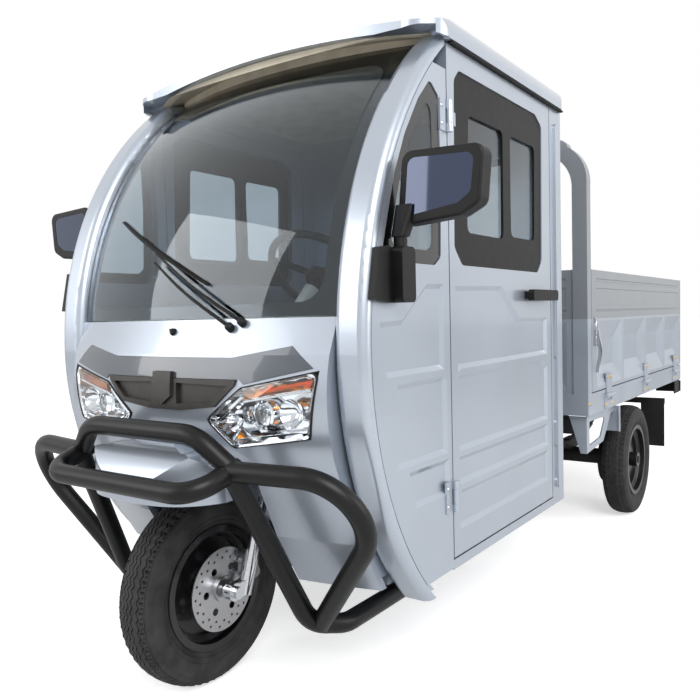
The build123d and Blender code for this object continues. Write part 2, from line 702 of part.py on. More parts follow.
LAMP_EDGE = PILLAR_INNER - 23
BAND_EDGE = PILLAR_INNER - 36
BAND_OUTLINE = [(-BAND_EDGE, 875), (-BAND_EDGE + 62, 926), (-220, 898), (220, 898), (BAND_EDGE - 62, 926),
                (BAND_EDGE, 875), (263, 835), (250, 846), (-250, 846), (-263, 835)]
GRILLE_OUTLINE = [(-242, 845), (242, 845), (238, 832), (176, 777), (60, 764), (-60, 764), (-176, 777), (-238, 832)]
SHIELD_OUTLINE = [(-34, 862), (34, 862), (34, 800), (0, 777), (-34, 800)]
LAMP_OUTLINE = [(256, 825), (LAMP_EDGE, 866), (LAMP_EDGE - 26, 710), (220, 676), (147, 744)]


def nose_panel():
    """Nose of the cab: cowl, face with seats for band, grille and lamps, side returns and wings beside the arch."""
    shell = nose_shell(0, NOSE_WALL)
    shell &= box(-300, 300, -PILLAR_INNER, PILLAR_INNER, NOSE_BOTTOM, SCREEN_BASE - 2)
    arch = [(-ARCH_HALF, 200), (ARCH_HALF, 200), (ARCH_HALF, ARCH_TOP - 60), (ARCH_HALF - 60, ARCH_TOP),
            (-ARCH_HALF + 60, ARCH_TOP), (-ARCH_HALF, ARCH_TOP - 60)]
    shell -= prism_x(arch, -400, 400)
    edge = PILLAR_INNER - SEAM
    returns = box(-300, 300, edge - NOSE_RETURN, edge, FLOOR_TOP + SEAM, SCREEN_BASE - 2)
    shell += both(nose_shell(SEAM, 110) & returns)
    shell -= both(through_nose(LAMP_OUTLINE, 3))
    shell -= through_nose(BAND_OUTLINE, 0.5) & nose_shell(-20, 10)
    shell -= through_nose(GRILLE_OUTLINE, 0.5) & nose_shell(-20, 16)
    return shell


def through_nose(points, gap=0):
    """Prism through the nose on an outline in (y, z), moved out all round by a gap."""
    return prism_x(grown(points, gap), -100, 400)


def front_band():
    """Dark band across the nose, above grille and lamps."""
    band = through_nose(BAND_OUTLINE) & nose_shell(-3, 10 - SEAT_GAP)
    return band - through_nose(SHIELD_OUTLINE, 0.5)


def grille():
    """Grille: six-sided frame with two recessed pads, and a blank shield in the middle."""
    plate = through_nose(GRILLE_OUTLINE) & nose_shell(-6, 16 - SEAT_GAP)
    for sign in (1, -1):
        pad = [(sign * y, z) for y, z in ((48, 834), (218, 830), (166, 788), (48, 780))]
        plate -= through_nose(pad) & nose_shell(-20, 5)
    shield = through_nose(SHIELD_OUTLINE) & nose_shell(-14, 10 - SEAT_GAP)
    return plate + shield


def headlamps():
    """Two wedge lamps, let into the nose."""
    return both(through_nose(LAMP_OUTLINE) & nose_shell(-8, 60))


def roof_shape(inset, low):
    """Outer form of the roof cap, or one inside it by an inset, down to a height."""
    half, rear, front = EAVE_HALF - inset, ROOF_REAR + inset, ROOF_FRONT - inset
    edge, crown = ROOF_EDGE - inset, ROOF_CROWN - inset
    section = [(-half, low), (half, low), (half, edge), (half - 20, edge + 42, half - 96, edge + 66),
               (0, crown, -half + 96, edge + 66), (-half + 20, edge + 42, -half, edge)]
    side = [(rear, low), (rear, edge + 6), (rear + 26, edge + 52, rear + 110, edge + 80),
            (-800, crown + 4, -480, crown - 14), (front, crown - 58), (front, low)]
    plan = [(rear, -half + 60), (rear + 18, -half + 18, rear + 60, -half), (front - 110, -half),
            (front - 45, -half + 22, front - 22, -half + 100), (front, 0, front - 22, half - 100),
            (front - 45, half - 22, front - 110, half), (rear + 60, half), (rear + 18, half - 18, rear, half - 60)]
    wide = half + 30
    lip = outline([(-wide, low - 400), (wide, low - 400), (wide, edge - 2), (0, edge + 48, -wide, edge - 2)],
                  lambda a, b: (front + 2, a, b))
    arched = extrude(lip, amount=1200, dir=(-1, 0, 0.25))
    return prism_x(section, rear, front) & prism_y(side, -wide, wide) & prism_z(plan, low - 1, 1900) & arched


def roof():
    """Crowned cap with a drip skirt over the doors and a thin arched peak over the windscreen."""
    inner_half = CAB_HALF - WALL - 4
    notch = CAB_HALF + SEAM
    cap = roof_shape(0, SKIRT_BOTTOM)
    cap -= box(DOOR_FRONT + DOOR_GAP + 1, 0, -notch, notch, 1600, HEAD_Z)
    cap -= box(CAB_REAR - 50, DOOR_REAR - DOOR_GAP, -notch, notch, 1600, HEAD_Z)
    over_cab = box(CAB_REAR + REAR_WALL + 2, ROOF_FRONT, -inner_half, inner_half, 1600, 1900)
    cap -= roof_shape(ROOF_SKIN, 1500) & over_cab
    below = [(-EAVE_HALF - 5, 1600), (EAVE_HALF + 5, 1600), (EAVE_HALF + 5, SKIRT_BOTTOM),
             (0, ROOF_EDGE + 26, -EAVE_HALF - 5, SKIRT_BOTTOM)]
    return cap - prism_x(below, PEAK_X, ROOF_FRONT + 5)


def visor():
    """Head lining along the inside of the roof and its peak, with the header above the windscreen."""
    half = CAB_HALF - WALL - 5
    lining = roof_shape(ROOF_SKIN, 1500) - roof_shape(ROOF_SKIN + 5, 1400)
    lining &= box(CAB_REAR + REAR_WALL + 4, ROOF_FRONT - 15, -half, half, HEAD_Z, 1900)
    mid = screen_mid(HEAD_Z)
    header = swung([(mid - 8, HEAD_Z), (mid, HEAD_Z), (mid, 1840), (mid - 8, 1840)])
    header &= box(-600, 0, -PILLAR_INNER, PILLAR_INNER, HEAD_Z, 1900)
    return lining + (header & roof_shape(ROOF_SKIN, 1500))


REAR_WINDOW = [(-380, 1200), (380, 1200), (380, 1580), (-380, 1580)]


def rear_wall():
    """Back wall with its window, and the two corner posts behind the doors with their raised ribs."""
    wall = box(CAB_REAR, CAB_REAR + REAR_WALL, -CAB_HALF, CAB_HALF, FLOOR_TOP, HEAD_Z)
    wall -= pane_x(REAR_WINDOW, 40, CAB_REAR - 5, CAB_REAR + REAR_WALL + 5)
    post = box(CAB_REAR, DOOR_REAR - DOOR_GAP, CAB_HALF - WALL, CAB_HALF, FLOOR_TOP, HEAD_Z)
    post += pane_y([(-1190, 352), (-1190, 1660), (-1228, 1660), (-1228, 352)], 16, CAB_HALF - 1, CAB_HALF + 9)
    for low, high in ((352, 392), (500, 604), (822, 1050)):
        post += pane_y([(-1180, low), (-1180, high), (-1238, high), (-1238, low)], 16, CAB_HALF - 1, CAB_HALF + 6)
    return wall + both(post)


def rear_glass():
    return pane_x(grown(REAR_WINDOW, -SEAT_GAP), 40, CAB_REAR + 10, CAB_REAR + 16)


def dashboard():
    """Dash with a rounded top, and the column jacket."""
    half = PILLAR_INNER - SEAM - NOSE_RETURN - 5
    steps = [(-30, 745), (-30, 985), (-60, 1000), (-150, 996), (-215, 980, -240, 920), (-236, 860), (-190, 745)]
    dash = prism_y(steps, -half, half)
    dash -= box(-60, 0, -half - 1, half + 1, 700, 930)
    dash -= box(-250, 50, -300, 300, 700, 828)
    foot, head = column_point(470), column_point(70)
    jacket = rod(foot, head, 27)
    well = rod(column_point(260), column_point(60), 12 + RUN_FIT)
    return dash + jacket - well


WHEEL_CENTRE = (-561, 1131)
COLUMN_TILT = 45
WHEEL_RADIUS = 180


def column_point(down):
    """Point on the steering column, a distance down it from the wheel's centre."""
    angle = math.radians(COLUMN_TILT)
    return (WHEEL_CENTRE[0] + down * math.cos(angle), 0, WHEEL_CENTRE[1] - down * math.sin(angle))


def steering_wheel():
    """Round rim, three spokes, hub and shaft."""
    base = Plane(origin=column_point(0), x_dir=(0, 1, 0), z_dir=Vector(*column_point(-1)) - Vector(*column_point(0)))
    wheel = Torus(WHEEL_RADIUS, 13)
    wheel += Pos(0, 0, -14) * Cylinder(42, 30)
    for turn in (0, 120, 240):
        wheel += Rot(0, 0, turn + 90) * Pos(WHEEL_RADIUS / 2, 0, -4) * Box(WHEEL_RADIUS, 26, 9)
    return base * wheel + rod(column_point(10), column_point(240), 12)


def battery_pack():
    """Plain block of the battery boxes, which carries the seat."""
    return box(-1200, -760, -420, 420, FLOOR_TOP, 596)


def seat_cushion():
    return fillet(box(-1170, -680, -450, 450, 596, 690).edges(), 22)


def seat_back():
    steps = [(-1130, 694), (-1215, 1140), (-1232, 1140), (-1232, 694)]
    back = prism_y(steps, -450, 450)
    return fillet(back.edges().filter_by(Axis.Y), 8)


MIRROR_X = -96
MIRROR_SEAT = 6
MIRROR_FACE = [(10, 1200), (27, 1374), (235, 1366), (223, 1236), (175, 1212)]
MIRROR_GLASS = [(31, 1222), (43, 1356), (211, 1348), (201, 1262), (169, 1240)]


def mirrors():
    """Two door mirrors, each on a post in a bracket on the pillar's foot plate."""
    side = CAB_HALF + 0.2
    foot = prism_y([(18, 1030), (-6, 1148), (-52, 1154), (-90, 1120), (-90, 1030), (-50, 1022)], side, side + 17)
    foot += pane_y([(-62, 1022), (-62, 1152), (-122, 1152), (-122, 1022)], 14, side, side + 44)
    post = rod((MIRROR_X + 4, CAB_HALF + 22, 1140), (MIRROR_X + 4, CAB_HALF + 22, 1185), 16)
    socket = loft([Pos(MIRROR_X + 4, CAB_HALF + 22, 1176) * RectangleRounded(38, 40, 14),
                   Pos(MIRROR_X - 14, CAB_HALF + 34, 1250) * RectangleRounded(44, 54, 14)])
    face = [(CAB_HALF + out, z) for out, z in MIRROR_FACE]
    head = pane_x(face, 26, MIRROR_X - 62, MIRROR_X)
    head = fillet(head.faces().sort_by(Axis.X)[0].edges(), 20)
    head = fillet(head.faces().sort_by(Axis.X)[-1].edges(), 7)
    whole = foot + post + socket + head
    glass = [(CAB_HALF + out, z) for out, z in MIRROR_GLASS]
    return both(whole - pane_x(grown(glass, SEAT_GAP), 20, MIRROR_X - MIRROR_SEAT - SEAT_GAP, MIRROR_X + 5))


def mirror_glass():
    """Faces of the door mirrors, let into their heads."""
    glass = [(CAB_HALF + out, z) for out, z in MIRROR_GLASS]
    return both(pane_x(glass, 20, MIRROR_X - MIRROR_SEAT, MIRROR_X - 1))


def bumper():
    """Tube guard: lower and upper loop, struts and round side loops that join low beside the wheel."""
    lower = pipe([(150, -290, 645), (BUMPER_X, -268, BUMPER_LOW_Z), (BUMPER_X, 268, BUMPER_LOW_Z), (150, 290, 645)],
                 75, TUBE_RADIUS)
    upper = pipe([(170, -290, 640), (202, -200, BUMPER_HIGH_Z), (202, 200, BUMPER_HIGH_Z), (170, 290, 640)],
                 110, TUBE_RADIUS)
    side = pipe([(178, 288, 640), (-20, 352, 225), (-108, 400, 204), (NECK_X + 50, 400, 204)], [90, 90], TUBE_RADIUS)
    loop = pipe([(178, 288, 640), (114, 714, 640), (-40, 372, 222)], 130, TUBE_RADIUS)
    return lower + upper + both(side + loop)


def wiper():
    """Two parallel arms and a blade that lies on the windscreen, and the washer nozzle."""
    def on_glass(y, z, off):
        return (bowed_x(curve_x(z, SCREEN_EDGE), PILLAR_INNER, y) + off, y, z)
    low = on_glass(150, 1085, 16)
    high = on_glass(-230, 1270, 16)
    middle = on_glass(-50, 1190, 26)
    parts = rod((82, 60, 972), (104, 60, 972), 14)
    parts += rod((98, 60, 972), middle, 5)
    parts += rod(low, middle, 6) + rod(middle, high, 6)
    return parts


# Bed

def tilt_plates():
    """Plates of the bed that carry its hinge bores."""
    plate = prism_y([(TILT_X - 40, BED_RAIL_BOTTOM + 20), (TILT_X - 26, TILT_Z - 20), (TILT_X, TILT_Z - 32,
                    TILT_X + 26, TILT_Z - 20), (TILT_X + 60, BED_RAIL_BOTTOM + 20)], 345, 357)
    return both(plate)


SIDE_HINGES = (-1859, -2527, -3224)
TAIL_HINGES = (-400, 0, 400)
LIFT_FOOT = (-1915, 425)
LIFT_HEAD = (-2800, 592)


def bed_floor():
    """Floor plate between the front sill and the tailgate."""
    return box(BED_REAR, BED_FRONT - POST_DEPTH / 2, -BED_HALF, BED_HALF, BED_FLOOR_TOP - PLATE, BED_FLOOR_TOP)


def bed_rails():
    """Rails, sill and cross members below the floor plate, with hinge straps, tilt plates and the lift lugs."""
    top = BED_FLOOR_TOP - PLATE
    sill = BED_FRONT - POST_DEPTH / 2
    rails = box(sill, sill + POST_DEPTH, -BED_HALF, BED_HALF, BED_RAIL_BOTTOM, BED_FLOOR_TOP)
    rails += both(box(BED_REAR, sill, BED_HALF - 34, BED_HALF, BED_RAIL_BOTTOM, top))
    rails += box(BED_REAR, BED_REAR + 34, -BED_HALF, BED_HALF, BED_RAIL_BOTTOM, top)
    for x in (-1950, -2250, -2550, -3050):
        rails += box(x - 20, x + 20, -BED_HALF + 20, BED_HALF - 20, 600, top)
    rails += both(box(BED_REAR, sill, 300, 340, BED_RAIL_BOTTOM + 5, top))
    rails += both(box(TILT_X - 60, TILT_X + 80, 338, 360, BED_RAIL_BOTTOM + 16, top))
    rails += tilt_plates()
    rails -= rod((TILT_X, -400, TILT_Z), (TILT_X, 400, TILT_Z), TILT_SHAFT + RUN_FIT)
    for y in (-44, 34):
        rails += prism_y([(-2860, top), (-2740, top), (-2776, 570), (-2824, 570)], y, y + 10)
    for x in SIDE_HINGES:
        fixed, _ = side_hinge(x)
        rails += both(fixed)
    for y in TAIL_HINGES:
        fixed, _ = tail_hinge(y)
        rails += fixed
    return rails


def side_hinge(x):
    """Hinge at the foot of the left side board."""
    y = BED_HALF + HINGE_OUT
    fixed = box(x - 60, x - 39, BED_HALF - 2, BED_HALF + 4, 566, HINGE_Z)
    fixed += box(x + 39, x + 60, BED_HALF - 2, BED_HALF + 4, 566, HINGE_Z)
    fixed += box(x - 60, x + 60, BED_HALF - 2, BED_HALF + 4, 566, 600)
    moving = box(x - 37, x + 37, BED_HALF + 1, BED_HALF + 6, HINGE_Z + 2, 720)
    moving += box(x - 37, x + 37, BED_HALF - 1, BED_HALF + 2, BED_FLOOR_TOP + BOARD_GAP, 720)
    clear = rod((x - 60, y, HINGE_Z), (x + 60, y, HINGE_Z), PIN_RADIUS + RUN_FIT)
    return hinge((x - 60, y, HINGE_Z), (x + 60, y, HINGE_Z), 21, fixed, moving - clear)


def tail_hinge(y):
    """Hinge at the foot of the tailgate."""
    x = BED_REAR - HINGE_OUT
    fixed = box(BED_REAR - 4, BED_REAR + 2, y - 60, y - 39, 566, HINGE_Z)
    fixed += box(BED_REAR - 4, BED_REAR + 2, y + 39, y + 60, 566, HINGE_Z)
    fixed += box(BED_REAR - 4, BED_REAR + 2, y - 60, y + 60, 566, 600)
    moving = box(BED_REAR - 6, BED_REAR - 1, y - 37, y + 37, HINGE_Z + 2, 720)
    moving += box(BED_REAR - 2, BED_REAR + 1, y - 37, y + 37, BED_FLOOR_TOP + BOARD_GAP, 720)
    clear = rod((x, y - 60, HINGE_Z), (x, y + 60, HINGE_Z), PIN_RADIUS + RUN_FIT)
    return hinge((x, y - 60, HINGE_Z), (x, y + 60, HINGE_Z), 21, fixed, moving - clear)


def board_trays(start, end, count, place):
    """Bays and upper panel of a board, cut from its face: place(along, z, depth) gives a point."""
    cut = None
    for a, b in bays(start, end, count, BAY_RIB):
        face = [(a, BAY_LOW), (b, BAY_LOW), (b, BAY_HIGH), (a, BAY_HIGH)]
        floor = [(a + BAY_SLANT, BAY_LOW + BAY_FOOT), (b - BAY_SLANT, BAY_LOW + BAY_FOOT),
                 (b - BAY_SLANT, BAY_HIGH - BAY_HEAD), (a + BAY_SLANT, BAY_HIGH - BAY_HEAD)]
        bay = tray((face, 0), (floor, BAY_DEPTH), place)
        cut = bay if cut is None else cut + bay
    for low, high in UPPER_PANELS:
        face = [(start, low), (end, low), (end, high), (start, high)]
        cut += tray((face, 0), (grown(face, -4), 4), place)
    return cut


def bays(start, end, count, rib):
    """Ranges of equal bays between two ends, with ribs between them."""
    length = (end - start - rib * (count - 1)) / count
    return [(start + i * (length + rib), start + i * (length + rib) + length) for i in range(count)]


def headboard():
    """Front board of the bed between the posts of its hoop, with the same bays as the side boards."""
    outer = BED_HALF
    inner = BED_HALF - POST_WIDTH
    low, back, front = BED_FLOOR_TOP, BED_FRONT - POST_DEPTH / 2, BED_FRONT + POST_DEPTH / 2
    hoop_out = [(-outer, low), (outer, low), (outer, 1500), (outer - 17, 1590, outer - 75, 1656),
                (outer - 99, 1686, outer - 135, HOOP_TOP), (-outer + 135, HOOP_TOP),
                (-outer + 99, 1686, -outer + 75, 1656), (-outer + 17, 1590, -outer, 1500)]
    hoop_in = [(-inner, low - 5), (inner, low - 5), (inner, 1490), (inner - 15, 1560, inner - 53, 1608),
               (inner - 69, 1630, inner - 95, 1630), (-inner + 95, 1630), (-inner + 69, 1630, -inner + 53, 1608),
               (-inner + 15, 1560, -inner, 1490)]
    hoop = prism_x(hoop_out, back, front) - prism_x(hoop_in, back - 5, front + 5)
    face = BED_FRONT + BOARD / 2
    board = box(face - BOARD, face, -inner - 2, inner + 2, low, BOARD_TOP)
    board -= board_trays(-inner + 30, inner - 30, 3, lambda a, b, depth: (face - depth, a, b))
    return hoop + board


def side_board():
    """Left side board: upper rail with a recessed panel, and slanted bays between ribs below."""
    front, rear = BED_FRONT - POST_DEPTH / 2 - BOARD_GAP, BED_REAR + BOARD + BOARD_GAP
    low = BED_FLOOR_TOP + BOARD_GAP
    board = box(rear, front, BED_HALF - BOARD, BED_HALF, low, BOARD_TOP)
    board -= board_trays(rear + 10, front - 60, 4, lambda a, b, depth: (a, BED_HALF - depth, b))
    for x in SIDE_HINGES:
        _, moving = side_hinge(x)
        board += moving
    return board


def tailgate():
    """Tailgate between the side boards' ends, with the same bays."""
    low = BED_FLOOR_TOP + BOARD_GAP
    board = box(BED_REAR, BED_REAR + BOARD, -BED_HALF, BED_HALF, low, BOARD_TOP)
    board -= board_trays(-BED_HALF + 40, BED_HALF - 40, 3, lambda a, b, depth: (BED_REAR + depth, a, b))
    for y in TAIL_HINGES:
        _, moving = tail_hinge(y)
        board += moving
    return board


def lift_line(reach):
    """Point on the lift cylinder's line, a distance up it from its foot."""
    dx, dz = LIFT_HEAD[0] - LIFT_FOOT[0], LIFT_HEAD[1] - LIFT_FOOT[1]
    length = math.hypot(dx, dz)
    return (LIFT_FOOT[0] + dx * reach / length, 0, LIFT_FOOT[1] + dz * reach / length)


LIFT_LENGTH = math.dist(LIFT_FOOT, LIFT_HEAD)


def lift_barrel():
    """Barrel of the lift cylinder, with its foot eye and pin."""
    barrel = ring(lift_line(60), lift_line(LIFT_LENGTH - 90), 34, 20.05 + RUN_FIT)
    barrel += rod(lift_line(40), lift_line(60), 34)
    barrel += rod(lift_line(0), lift_line(40), 16)
    barrel += rod((LIFT_FOOT[0], -20, LIFT_FOOT[1]), (LIFT_FOOT[0], 20, LIFT_FOOT[1]), 22)
    return barrel


def lift_rod():
    """Rod of the lift cylinder, with the eye that stands between the bed's lugs."""
    stem = rod(lift_line(90), lift_line(LIFT_LENGTH - 10), 20)
    x, z = LIFT_HEAD
    return stem + rod((x, -22, z), (x, 22, z), 22)


def rear_flaps():
    """Two mud flaps behind the rear wheels, on hangers from the frame."""
    flap = box(FLAP_X, FLAP_X + 6, REAR_WHEEL_Y - 66, REAR_WHEEL_Y + 56, 236, 470)
    hanger = box(FLAP_X - 14, FLAP_X + 6, RAIL_HALF + RAIL_WIDTH / 2, REAR_WHEEL_Y + 56, 470, 500)
    return both(flap + hanger)


def lamp_housings():
    """Black housings of the tail lamps, on plates below the bed's rear corners."""
    plate = box(BED_REAR + 34, BED_REAR + 150, 566, 572, 486, BED_RAIL_BOTTOM)
    plate += box(BED_REAR + 22, BED_REAR + 34, 440, 572, 486, BED_RAIL_BOTTOM)
    return both(plate + box(BED_REAR + 10, BED_REAR + 22, 446, 576, 488, 552))


def tail_lamps():
    """Lenses of the two tail lamps."""
    lamp = box(BED_REAR - 8, BED_REAR + 10, 446, 576, 488, 552)
    return both(fillet(lamp.faces().sort_by(Axis.X)[0].edges(), 6))


NODES = {
    "chassis_frame": chassis_frame,
    "cross_members": cross_members,
    "front_neck": front_neck,
    "side_brackets": side_brackets,
    "cab_floor": cab_floor,
    "nose_panel": nose_panel,
    "arch_pillars": arch_pillars,
    "windscreen": windscreen,
    "front_band": front_band,
    "grille": grille,
    "headlamps": headlamps,
    "wiper": wiper,
    "quarter_panels": quarter_panels,
    "quarter_glass": quarter_glass,
    "rear_wall": rear_wall,
    "rear_glass": rear_glass,
    "roof": roof,
    "visor": visor,
    "dashboard": dashboard,
    "battery_pack": battery_pack,
    "seat_cushion": seat_cushion,
    "seat_back": seat_back,
    "steering_wheel": steering_wheel,
    "mirrors": mirrors,
    "mirror_glass": mirror_glass,
    "bumper": bumper,
    "front_fender": front_fender,
    "front_fork": front_fork,
    "front_tyre": lambda: tyre(0),
    "front_rim": front_rim,
    "brake_disc": brake_disc,
    "brake_caliper": brake_caliper,
    "rear_axle": rear_axle,
    "drive_motor": drive_motor,
    "leaf_springs": leaf_springs,
    "door_left": door,
    "door_right": lambda: flip(door()),
    "door_handle_left": door_handle,
    "door_handle_right": lambda: flip(door_handle()),
    "window_frame_left": window_frame,
    "window_frame_right": lambda: flip(window_frame()),
    "door_glass_left": door_glass,
    "door_glass_right": lambda: flip(door_glass()),
    "bed_floor": bed_floor,
    "bed_rails": bed_rails,
    "headboard": headboard,
    "side_board_left": side_board,
    "side_board_right": lambda: flip(side_board()),
    "tailgate": tailgate,
    "lift_barrel": lift_barrel,
    "lift_rod": lift_rod,
    "rear_flaps": rear_flaps,
    "lamp_housings": lamp_housings,
    "tail_lamps": tail_lamps,
}


def rear_tyre():
    return Pos(REAR_X, 0, 0) * tyre(REAR_WHEEL_Y)


def rear_rim():
    """Rear rim on its stub shaft, disc outwards."""
    return Pos(REAR_X, 0, 0) * rim(REAR_WHEEL_Y, 34, 54, 17 + RUN_FIT, 10)


NODES["rear_tyre_left"] = rear_tyre
NODES["rear_tyre_right"] = lambda: flip(rear_tyre())
NODES["rear_rim_left"] = rear_rim
NODES["rear_rim_right"] = lambda: flip(rear_rim())

FRONT_REACH = BUMPER_X + TUBE_RADIUS
REAR_REACH = BED_REAR - HINGE_OUT - KNUCKLE_RADIUS
SHIFT = -(FRONT_REACH + REAR_REACH) / 2


def main():
    os.makedirs("parts", exist_ok=True)
    for name, make in NODES.items():
        shape = Pos(SHIFT, 0, 0) * make()
        export_step(shape, f"parts/{name}.step")


if __name__ == "__main__":
    main()
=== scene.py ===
import math

import bmesh
import bpy
import numpy as np
from mathutils import Matrix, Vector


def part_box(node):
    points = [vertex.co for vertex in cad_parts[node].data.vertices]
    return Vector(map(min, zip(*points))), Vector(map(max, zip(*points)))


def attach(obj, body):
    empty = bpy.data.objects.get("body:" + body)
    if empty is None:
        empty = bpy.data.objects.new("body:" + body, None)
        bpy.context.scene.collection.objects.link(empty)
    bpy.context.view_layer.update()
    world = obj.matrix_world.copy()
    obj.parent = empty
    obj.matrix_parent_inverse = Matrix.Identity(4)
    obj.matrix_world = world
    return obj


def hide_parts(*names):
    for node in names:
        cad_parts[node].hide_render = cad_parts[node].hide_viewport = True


bl_info = {
    "name": "Electric dump tricycle",
    "version": (1, 0, 0),
    "blender": (4, 5, 0),
    "location": "View3D > Sidebar > Tricycle",
    "description": "Adds the finishes and the fine pieces of an electric dump tricycle",
    "category": "Add Mesh",
}

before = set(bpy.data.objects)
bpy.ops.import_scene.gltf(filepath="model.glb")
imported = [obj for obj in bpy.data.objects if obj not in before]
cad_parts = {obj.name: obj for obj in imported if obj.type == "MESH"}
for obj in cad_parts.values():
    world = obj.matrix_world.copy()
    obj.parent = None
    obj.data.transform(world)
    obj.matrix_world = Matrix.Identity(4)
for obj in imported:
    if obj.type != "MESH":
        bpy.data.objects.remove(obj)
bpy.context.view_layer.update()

# Sizes are in millimetres, from the front axle's middle on the ground: x forward, y left, z up.
AXLE_X = sum(corner.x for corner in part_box("front_tyre")) / 2
TYRE_RADIUS = 262.5
WHEEL_Z = 262.5
REAR_X = -2290
REAR_WHEEL_Y = 540
CAB_HALF = 575
PILLAR_INNER = 483
BOW_X = -1900
BED_HALF = 575
BED_FRONT = -1600
SCREEN_LOW = 995
SCREEN_TOP = 1742
GLASS = 6


# Colours


def linear(code):
    """Linear colour from an sRGB hex code, by the standard's straight and curved parts."""
    part = np.array([int(code[i:i + 2], 16) for i in (0, 2, 4)]) / 255
    part = np.where(part <= 0.04045, part / 12.92, ((part + 0.055) / 1.055) ** 2.4)
    return (*part.tolist(), 1.0)


# Shapes


def circle_through(p, q, r):
    """Centre and radius of the circle through three points."""
    ax, az, bx, bz = q[0] - p[0], q[1] - p[1], r[0] - p[0], r[1] - p[1]
    a, b = (ax * ax + az * az) / 2, (bx * bx + bz * bz) / 2
    cross = ax * bz - az * bx
    u, v = (a * bz - b * az) / cross, (ax * b - bx * a) / cross
    return p[0] + u, p[1] + v, math.hypot(u, v)


SIDE_ARC = circle_through((-408, 1761), (-62, 1345), (35, 905))
SCREEN_INSET = 26


def on_arc(arc, z):
    """x on the front half of a circle in the (x, z) plane, at height z."""
    return arc[0] + np.sqrt(arc[2] ** 2 - (np.asarray(z, float) - arc[1]) ** 2)


def side_curve(z, inset=0.0):
    """x of the pillars' front curve at height z, moved in by an inset."""
    return on_arc((SIDE_ARC[0], SIDE_ARC[1], SIDE_ARC[2] - inset), z)


def screen_middle(z):
    """x of the windscreen on the centre line, where the inset pillar curve is swung about the upright axis."""
    return BOW_X + math.hypot(side_curve(z, SCREEN_INSET) - BOW_X, PILLAR_INNER)


SCREEN_HEIGHTS = (SCREEN_LOW, (SCREEN_LOW + SCREEN_TOP) / 2, SCREEN_TOP)
SCREEN_ARC = circle_through(*[(screen_middle(z), z) for z in SCREEN_HEIGHTS])
NOSE_ARC = circle_through((104, 905), (118, 800), (66, 590))


def bowed(middle, y):
    """x at y on a surface of revolution about the upright axis that has x = middle on the centre line."""
    return BOW_X + np.sqrt((middle - BOW_X) ** 2 - np.asarray(y, float) ** 2)


def screen_x(y, z):
    """x of the windscreen's outer face at (y, z)."""
    return bowed(on_arc(SCREEN_ARC, z), y)


def nose_x(y, z):
    """x of the nose's outer face at (y, z): an arc from band to chin, and straight runs above and below."""
    z = np.asarray(z, float)
    straight = np.interp(z, [290, 430, 590, 905, 993], [-88, -5, 66, 104, 68])
    curved = on_arc(NOSE_ARC, np.clip(z, 590, 905))
    return bowed(np.where((z > 590) & (z < 905), curved, straight), y)


def grid_faces(rows, columns, wrap_rows=False, wrap_columns=False):
    """Quads between neighbours of a grid of points, joined round where a direction wraps."""
    index = np.arange(rows * columns).reshape(rows, columns)
    if wrap_rows:
        index = np.vstack([index, index[:1]])
    if wrap_columns:
        index = np.hstack([index, index[:, :1]])
    quads = [index[:-1, :-1], index[1:, :-1], index[1:, 1:], index[:-1, 1:]]
    return np.stack(quads, axis=-1).reshape(-1, 4).tolist()


def patch(grid, wrap_rows=False, wrap_columns=False, capped=False):
    """Points and faces of a grid; capped closes the first and last row of a grid whose columns wrap."""
    grid = np.asarray(grid, float)
    rows, columns = grid.shape[:2]
    faces = grid_faces(rows, columns, wrap_rows, wrap_columns)
    if capped:
        first = list(range(columns))
        last = list(range((rows - 1) * columns, rows * columns))
        faces += [first, last[::-1]]
    return grid.reshape(-1, 3), faces


def joined(shapes):
    """Several shapes of points and faces as one."""
    points, faces, offset = [], [], 0
    for part, part_faces in shapes:
        points.append(part)
        faces += [[index + offset for index in face] for face in part_faces]
        offset += len(part)
    return np.vstack(points), faces


def mirrored(shape):
    """The shape on the other side, turned right way out again."""
    points, faces = shape
    return points * (1, -1, 1), [face[::-1] for face in faces]


def both_sides(shape):
    return joined([shape, mirrored(shape)])


def lathe(profile, centre, axis, steps=48, closed=True):
    """Profile of (radius, height) turned about an axis.

    Point = centre + height·axis + radius·(cos·u + sin·v)."""
    profile = np.asarray(profile, float)
    axis = np.asarray(axis, float) / np.linalg.norm(axis)
    u = np.cross(axis, (0, 0, 1) if abs(axis[2]) < 0.9 else (1, 0, 0))
    u /= np.linalg.norm(u)
    v = np.cross(axis, u)
    turn = np.linspace(0, 2 * math.pi, steps, endpoint=False)[None, :, None]
    radius, height = profile[:, 0, None, None], profile[:, 1, None, None]
    grid = np.asarray(centre, float) + height * axis + radius * (np.cos(turn) * u + np.sin(turn) * v)
    return patch(grid, wrap_rows=closed, wrap_columns=True, capped=not closed)


def frames_along(path):
    """Tangents of a path of points, and two crosswise directions, the first as level as it can be."""
    path = np.asarray(path, float)
    tangent = np.gradient(path, axis=0)
    tangent /= np.linalg.norm(tangent, axis=1, keepdims=True)
    steep = np.abs(tangent[:, 2:]) > 0.95
    guide = np.where(steep.any(), [[1.0, 0, 0]], [[0, 0, 1.0]])
    across = np.cross(guide, tangent)
    across /= np.linalg.norm(across, axis=1, keepdims=True)
    return path, tangent, across, np.cross(tangent, across)


def swept(section, path, scale=None):
    """Closed section of (across, up) carried along a path, optionally scaled from point to point."""
    path, _, across, up = frames_along(path)
    section = np.asarray(section, float)
    size = np.ones(len(path)) if scale is None else np.asarray(scale, float)
    offset = section[None, :, :1] * across[:, None, :] + section[None, :, 1:] * up[:, None, :]
    return patch(path[:, None, :] + size[:, None, None] * offset, wrap_columns=True, capped=True)


def disc_section(radius, steps=12):
    """Round section for a sweep."""
    turn = np.linspace(0, 2 * math.pi, steps, endpoint=False)
    return np.column_stack([radius * np.cos(turn), radius * np.sin(turn)])


